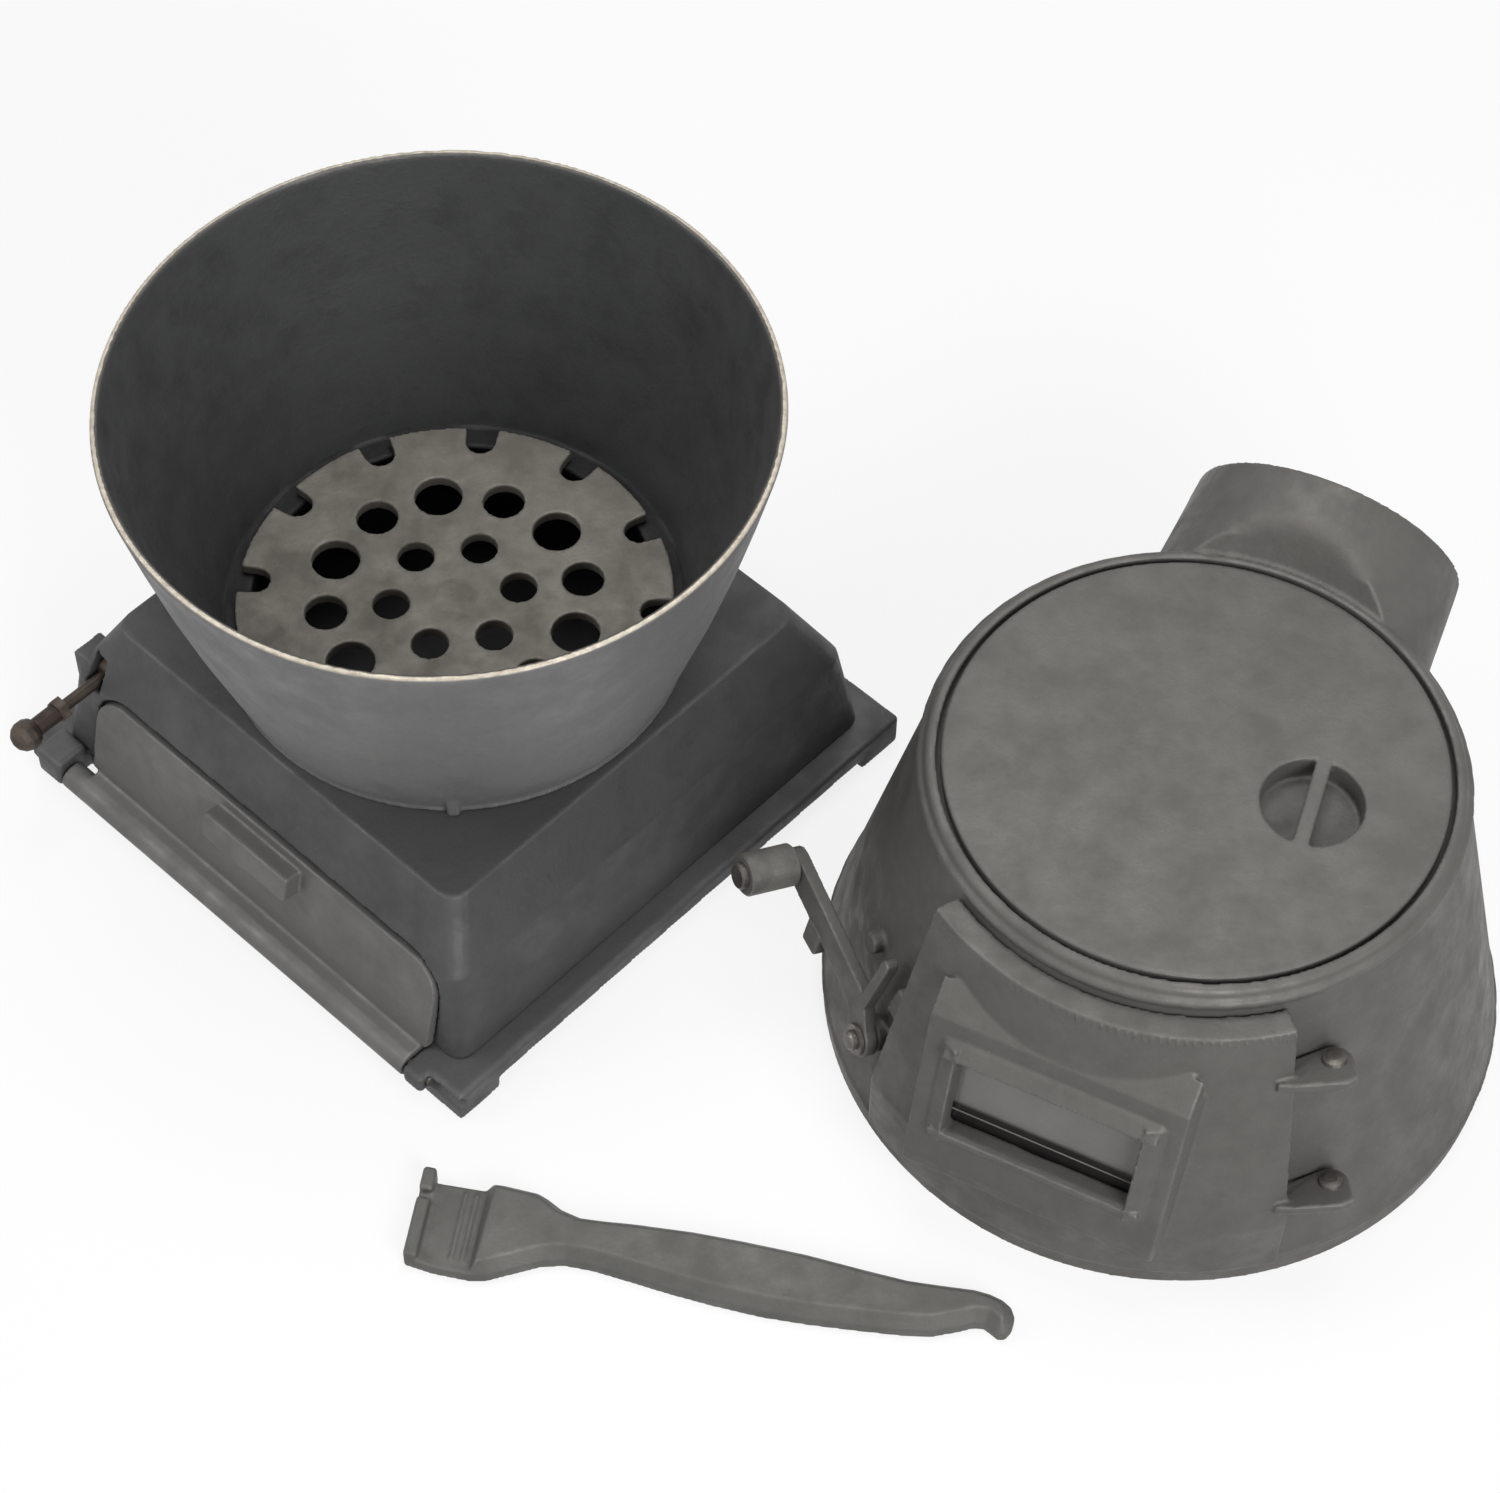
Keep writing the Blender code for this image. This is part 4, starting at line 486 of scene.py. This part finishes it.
# A prism from an outline in a placing frame's XY, with sides that slope in towards its top
def slopedPrism(bm, place, outline, foot, shoulder, top, slope):
    face = bm.faces.new([bm.verts.new(place @ Vector((x, y, foot))) for x, y in outline])
    up = place.to_3x3().col[2]
    made = bmesh.ops.extrude_face_region(bm, geom=[face])
    raised = [v for v in made["geom"] if isinstance(v, bmesh.types.BMVert)]
    bmesh.ops.translate(bm, vec=up * (shoulder - foot), verts=raised)
    lid = [f for f in made["geom"] if isinstance(f, bmesh.types.BMFace)]
    bmesh.ops.recalc_face_normals(bm, faces=bm.faces)
    bmesh.ops.inset_region(bm, faces=lid, thickness=slope, depth=0.0, use_even_offset=False)
    bmesh.ops.translate(bm, vec=up * (top - shoulder), verts=list({v for f in lid for v in f.verts}))


# Takes the solids of one bmesh out of another
def carve(bm, cutter):
    pair = []
    for name, source in (("carved", bm), ("carver", cutter)):
        bmesh.ops.recalc_face_normals(source, faces=source.faces)
        mesh = bpy.data.meshes.new(name)
        source.to_mesh(mesh)
        source.free()
        obj = bpy.data.objects.new(name, mesh)
        bpy.context.scene.collection.objects.link(obj)
        pair.append(obj)
    carving = pair[0].modifiers.new("carving", "BOOLEAN")
    carving.operation = "DIFFERENCE"
    carving.solver = "EXACT"
    carving.use_self = True
    carving.object = pair[1]
    evaluated(pair[0])
    made = bmesh.new()
    made.from_mesh(pair[0].data)
    for obj in pair:
        bpy.data.objects.remove(obj)
    return made


coarse = 1.0  # voxels are larger while trying things
skinning = {"smoothing": 0.5, "blendPasses": 130, "triangles": 170000}


# Skins the solids of a bmesh as one casting, lays the skin back on them and softens its edges.
# The sizes give the voxel and the number of softening passes; rounds lists turned stretches made
# truly round, and blended says which points are smoothed into a fillet.
def casting(name, node, body, finish, bm, sizes, rounds=(), blended=None):
    bmesh.ops.recalc_face_normals(bm, faces=bm.faces)
    mesh = bpy.data.meshes.new(name)
    bm.to_mesh(mesh)
    bm.free()
    solids = bpy.data.objects.new(name + "Solids", mesh)
    piece = bpy.data.objects.new(name, mesh.copy())
    for obj in (solids, piece):
        bpy.context.scene.collection.objects.link(obj)
    skin = piece.modifiers.new("castSkin", "REMESH")
    skin.mode = "VOXEL"
    skin.voxel_size = sizes["voxel"] * coarse
    lay = piece.modifiers.new("layOn", "SHRINKWRAP")
    lay.target = solids
    evaluated(piece)
    bpy.data.objects.remove(solids)
    for one in rounds:
        trueRound(piece.data, *one)
    if blended:
        group = piece.vertex_groups.new(name="blended")
        group.add([v.index for v in piece.data.vertices if blended(v.co)], 1.0, "REPLACE")
        blend = piece.modifiers.new("blend", "SMOOTH")
        blend.vertex_group = "blended"
        blend.factor = skinning["smoothing"]
        blend.iterations = skinning["blendPasses"]
    soften = piece.modifiers.new("soften", "SMOOTH")
    soften.factor = skinning["smoothing"]
    soften.iterations = sizes["soft"]
    triangles = 2 * len(piece.data.polygons)
    limit = sizes.get("triangles", skinning["triangles"])
    if triangles > limit:
        thin = piece.modifiers.new("thin", "DECIMATE")
        thin.ratio = limit / triangles
    evaluated(piece)
    piece.data.shade_smooth()
    piece.data.materials.clear()
    piece.data.materials.append(finish)
    piece.data.name = name
    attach(piece, body)
    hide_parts(node)
    print(name, triangles, "triangles before thinning")


# Fire pot: a turned bowl with a worn rim, and a bead where it meets the ash box
pot = {
    "voxel": 0.0014, "soft": 1, "steps": 56, "roundFrom": 0.0, "roundTo": 1.0,
    "beadRadius": 0.1088, "beadHeight": 0.1042, "beadThick": 0.0014,
}
bm = weldedCopy("fire_pot")
bead(bm, basePlace, pot["beadRadius"], pot["beadHeight"], pot["beadThick"])
casting("firePot", "fire_pot", "fire_pot", potIron, bm, pot,
        rounds=[(basePlace, pot["steps"], pot["roundFrom"], pot["roundTo"])])

# Grate: soft-edged holes and teeth, and a worn boss at its centre
grate = {"voxel": 0.0011, "soft": 3, "bossRadius": 0.0085, "bossTop": 0.1216, "bossFoot": 0.1190}
bm = weldedCopy("grate")
post(bm, basePlace, grate["bossRadius"], grate["bossFoot"], grate["bossTop"])
casting("grate", "grate", "grate", grateIron, bm, grate)

# Base plate, ash box and ash door
plate = {"voxel": 0.0016, "soft": 2}
casting("basePlate", "base_plate", "base", darkIron, weldedCopy("base_plate"), plate)
box = {"voxel": 0.0014, "soft": 1}
casting("ashBox", "ash_box", "base", darkIron, weldedCopy("ash_box"), box)
ashDoor = {"voxel": 0.0009, "soft": 3}
casting("ashDoor", "ash_door", "ash_door", ashDoorLitIron, weldedCopy("ash_door"), ashDoor)

# The hood's cone wall, as the frame has it
wall = {"footRadius": 0.1574, "footHeight": 0.012, "slope": 0.2341}


def coneRadius(height):
    return wall["footRadius"] - wall["slope"] * (height - wall["footHeight"])


# A placing frame on the hood's wall: X to the right, Y up the wall, Z out of it
def wallPlace(azimuth, height, stand):
    lean = math.atan(wall["slope"])
    out = Vector((math.cos(azimuth), math.sin(azimuth), 0.0))
    right = Vector((-math.sin(azimuth), math.cos(azimuth), 0.0))
    normal = out * math.cos(lean) + Vector((0.0, 0.0, math.sin(lean)))
    place = Matrix((right, normal.cross(right), normal)).transposed().to_4x4()
    place.translation = out * coneRadius(height) + Vector((0.0, 0.0, height)) + normal * stand
    return hoodPlace @ place


# A bar along a placing frame's X, from its section in YZ
def bar(bm, place, section, low, high):
    face = bm.faces.new([bm.verts.new(place @ Vector((low, y, z))) for y, z in section])
    made = bmesh.ops.extrude_face_region(bm, geom=[face])
    bmesh.ops.translate(bm, vec=place.to_3x3() @ Vector((high - low, 0.0, 0.0)),
                        verts=[v for v in made["geom"] if isinstance(v, bmesh.types.BMVert)])


# Hood with its ring, skirt bead, a stub by the latch, and the pipe collar blended into its wall
hood = {
    "voxel": 0.0013, "soft": 2, "triangles": 190000, "steps": 56, "roundFrom": -0.001, "roundTo": 0.1815,
    "lipRadius": 0.1186, "lipHeight": 0.1738, "lipThick": 0.0030,
    "skirtRadius": 0.1568, "skirtHeight": 0.0120, "skirtThick": 0.0014,
    "latchAngle": math.radians(-129.06), "latchHeight": 0.056,
    "stubAt": (-0.0234, 0.0382), "stubRadius": 0.0052, "stubFoot": -0.003, "stubHigh": 0.0046,
    "stubSides": 24,
    "blendBehind": 0.08, "blendFrom": 0.1225, "blendAbove": 0.1400,
    "mouthAt": (0.171, 0.1475), "mouthTilt": math.radians(17.5), "mouthKept": 0.012,
}


# True in the saddle between the lid ring and the pipe collar
def collarNeck(spot):
    here = hoodPlace.inverted() @ spot
    along = (here.y - hood["mouthAt"][0]) * math.cos(hood["mouthTilt"])
    out = along + (here.z - hood["mouthAt"][1]) * math.sin(hood["mouthTilt"])
    behind = here.y > hood["blendBehind"] and math.hypot(here.x, here.y) > hood["blendFrom"]
    return behind and out < -hood["mouthKept"] and here.z > hood["blendAbove"]


latchPlace = wallPlace(hood["latchAngle"], hood["latchHeight"], 0.0)
stubPlace = latchPlace @ Matrix.Translation((*hood["stubAt"], 0.0))
bm = weldedCopy("hood")
bead(bm, hoodPlace, hood["lipRadius"], hood["lipHeight"], hood["lipThick"])
bead(bm, hoodPlace, hood["skirtRadius"], hood["skirtHeight"], hood["skirtThick"])
post(bm, stubPlace, hood["stubRadius"], hood["stubFoot"], hood["stubHigh"], hood["stubSides"])
casting("hood", "hood", "hood", hoodIron, bm, hood, blended=collarNeck,
        rounds=[(hoodPlace, hood["steps"], hood["roundFrom"], hood["roundTo"])])

# Lid, made round above its cup
lid = {"voxel": 0.0011, "soft": 2, "steps": 56, "roundFrom": 0.1730, "roundTo": 0.19}
casting("lid", "lid", "lid", lidIron, weldedCopy("lid"), lid,
        rounds=[(hoodPlace, lid["steps"], lid["roundFrom"], lid["roundTo"])])

# Fire door: a shelf along its top, a brow that slopes back from the window bay to the curved face,
# a raised rim round the window, and a leaf plate at each hinge
fireDoor = {
    "voxel": 0.0010, "soft": 3, "top": 0.1680, "thick": 0.0130,
    "left": math.radians(-123.0), "right": math.radians(-48.7),
    "cutFrom": (-0.15, -0.2), "cutTo": (0.15, -0.02, 0.2),
    "shelfFoot": 0.1632, "shelfOut": 0.0176, "shelfBack": 0.0012, "shelfDrop": 0.0006,
    "hollowOut": 0.010, "hollowBelow": 0.0060, "hollowAbove": 0.0010, "hollowEnds": 0.04,
    "bayTop": 0.1358, "bayFront": 0.1413, "bayBack": 0.1280, "bayRise": 0.0122, "bayHalf": 0.0600,
    "browSunk": 0.004,
    "windowAt": 0.0935, "windowWide": 0.0430, "windowHigh": 0.0221, "windowGap": 0.0006,
    "rimWide": 0.0086, "rimProud": 0.0056, "rimFoot": 0.0012, "rimSunk": 0.002, "rimCorner": 0.8,
    "leafHeights": (0.0570, 0.1330), "leafAngle": math.radians(-40.5), "leafStand": 0.0095,
    "leafFoot": -0.0056, "leafShoulder": -0.0014, "leafTop": -0.0007, "leafSlope": 0.0006,
    "leaf": [
        (-0.0290, 0.0020), (-0.0120, -0.0050), (-0.0040, -0.0062), (0.0050, -0.0050),
        (0.0080, 0.0030), (0.0040, 0.0138), (-0.0020, 0.0142), (-0.0220, 0.0062)],
}


def addShelf(bm):
    back = shelfRadius + fireDoor["shelfBack"]
    front = shelfRadius + fireDoor["shelfOut"]
    profile = [
        (back, fireDoor["shelfFoot"]), (front, fireDoor["shelfFoot"]),
        (front, fireDoor["top"] - fireDoor["shelfDrop"]), (back, fireDoor["top"])]
    sector(bm, hoodPlace, profile, fireDoor["left"], fireDoor["right"])


def addBrow(bm):
    front = -fireDoor["bayFront"]
    back = -fireDoor["bayBack"]
    foot = fireDoor["bayTop"] - fireDoor["browSunk"]
    top = fireDoor["bayTop"] + fireDoor["bayRise"]
    profile = [(front, fireDoor["bayTop"]), (back, top), (back, foot), (front, foot)]
    bar(bm, hoodPlace, profile, -fireDoor["bayHalf"], fireDoor["bayHalf"])


def addWindowRim(bm):
    stand = fireDoor["thick"] * math.cos(math.atan(wall["slope"]))
    window = wallPlace(-math.pi / 2.0, fireDoor["windowAt"], stand)
    halves = (fireDoor["windowHigh"], fireDoor["windowWide"])
    for side in range(4):
        inner = halves[side % 2] + fireDoor["windowGap"]
        outer = halves[side % 2] + fireDoor["rimWide"]
        profile = [(inner, -fireDoor["rimSunk"]), (inner, fireDoor["rimProud"]), (outer, fireDoor["rimFoot"]),
                   (outer, -fireDoor["rimSunk"])]
        reach = halves[1 - side % 2] + fireDoor["rimWide"] * fireDoor["rimCorner"]
        bar(bm, window @ Matrix.Rotation(side * math.pi / 2.0, 4, "Z"), profile, -reach, reach)


def addHingeLeaves(bm):
    for height in fireDoor["leafHeights"]:
        edgeOn = Matrix.Rotation(math.pi / 2.0, 4, "X")
        place = wallPlace(fireDoor["leafAngle"], height, fireDoor["leafStand"]) @ edgeOn
        slopedPrism(bm, place, fireDoor["leaf"], fireDoor["leafFoot"], fireDoor["leafShoulder"],
                    fireDoor["leafTop"], fireDoor["leafSlope"])


# True in the hollow under the shelf, away from its ends
def underShelf(spot):
    here = hoodPlace.inverted() @ spot
    angle = math.atan2(here.y, here.x)
    above = here.z - fireDoor["shelfFoot"]
    outside = math.hypot(here.x, here.y) > shelfRadius + fireDoor["hollowOut"]
    between = fireDoor["left"] + fireDoor["hollowEnds"] < angle < fireDoor["right"] - fireDoor["hollowEnds"]
    return outside and between and -fireDoor["hollowBelow"] < above < fireDoor["hollowAbove"]


shelfRadius = coneRadius(fireDoor["top"])
cutter = bmesh.new()
block(cutter, hoodPlace, (*fireDoor["cutFrom"], fireDoor["top"]), fireDoor["cutTo"])
bm = carve(weldedCopy("fire_door"), cutter)
addShelf(bm)
addBrow(bm)
addWindowRim(bm)
addHingeLeaves(bm)
casting("fireDoor", "fire_door", "fire_door", hoodIron, bm, fireDoor, blended=underShelf)

# Latch lever, with a nub on its crank arm
lever = {
    "voxel": 0.0007, "soft": 3,
    "nubFrom": (-0.0580, 0.0030, 0.0064), "nubTo": (-0.0462, 0.0170, 0.0135), "nubEdge": 0.0010,
}
bm = weldedCopy("latch_lever")
block(bm, latchPlace, lever["nubFrom"], lever["nubTo"], lever["nubEdge"])
casting("latchLever", "latch_lever", "latch_lever", hoodIron, bm, lever)

# Lifting handle: a toe with a notched lip and two ribs, and a blade that ends in a curled spur
handle = {
    "voxel": 0.0009, "soft": 6, "foot": 0.0003, "shoulder": 0.0060, "top": 0.0135, "slope": 0.0048,
    "outline": [
        (0.0305, -0.0255), (0.0390, -0.0240), (0.0500, -0.0186), (0.0620, -0.0128), (0.0720, -0.0106),
        (0.0850, -0.0110), (0.1000, -0.0132), (0.1200, -0.0163), (0.1400, -0.0188), (0.1630, -0.0207),
        (0.1850, -0.0208), (0.2050, -0.0200), (0.2250, -0.0190), (0.2390, -0.0172), (0.2500, -0.0130),
        (0.2570, -0.0098), (0.2615, -0.0094), (0.2650, -0.0118), (0.2680, -0.0136), (0.2715, -0.0130),
        (0.2738, -0.0090), (0.2744, -0.0040), (0.2722, 0.0008), (0.2680, 0.0038), (0.2620, 0.0058),
        (0.2550, 0.0068), (0.2400, 0.0064), (0.2250, 0.0062), (0.2050, 0.0082), (0.1780, 0.0113),
        (0.1500, 0.0130), (0.1270, 0.0138), (0.1000, 0.0132), (0.0850, 0.0123), (0.0750, 0.0120),
        (0.0660, 0.0146), (0.0590, 0.0188), (0.0540, 0.0210), (0.0450, 0.0218), (0.0380, 0.0224),
        (0.0330, 0.0222), (0.0305, 0.0185)],
    "toe": [(0.0006, -0.0222), (0.0140, -0.0246), (0.0320, -0.0255), (0.0320, 0.0180), (0.0006, 0.0184)],
    "toeShoulder": 0.0062, "toeTop": 0.0072, "toeSlope": 0.0006,
    "lip": [(0.0006, -0.0222, 0.0070, 0.0080), (0.0006, 0.0118, 0.0070, 0.0236)],
    "lipTop": 0.0118, "lipEdge": 0.0012,
    "ribs": [0.0212, 0.0262], "ribWide": 0.0016, "ribFrom": -0.0200, "ribTo": 0.0150,
    "ribFoot": 0.004, "ribHigh": 0.0083,
}
bm = bmesh.new()
slopedPrism(bm, handlePlace, handle["outline"], handle["foot"], handle["shoulder"], handle["top"],
            handle["slope"])
slopedPrism(bm, handlePlace, handle["toe"], handle["foot"], handle["toeShoulder"], handle["toeTop"],
            handle["toeSlope"])
for left, low, right, high in handle["lip"]:
    block(bm, handlePlace, (left, low, handle["foot"]), (right, high, handle["lipTop"]), handle["lipEdge"])
for at in handle["ribs"]:
    block(bm, handlePlace, (at, handle["ribFrom"], handle["ribFoot"]),
          (at + handle["ribWide"], handle["ribTo"], handle["ribHigh"]))
casting("liftingHandle", "lifting_handle", "lifting_handle", handleIron, bm, handle)
print("castings made")
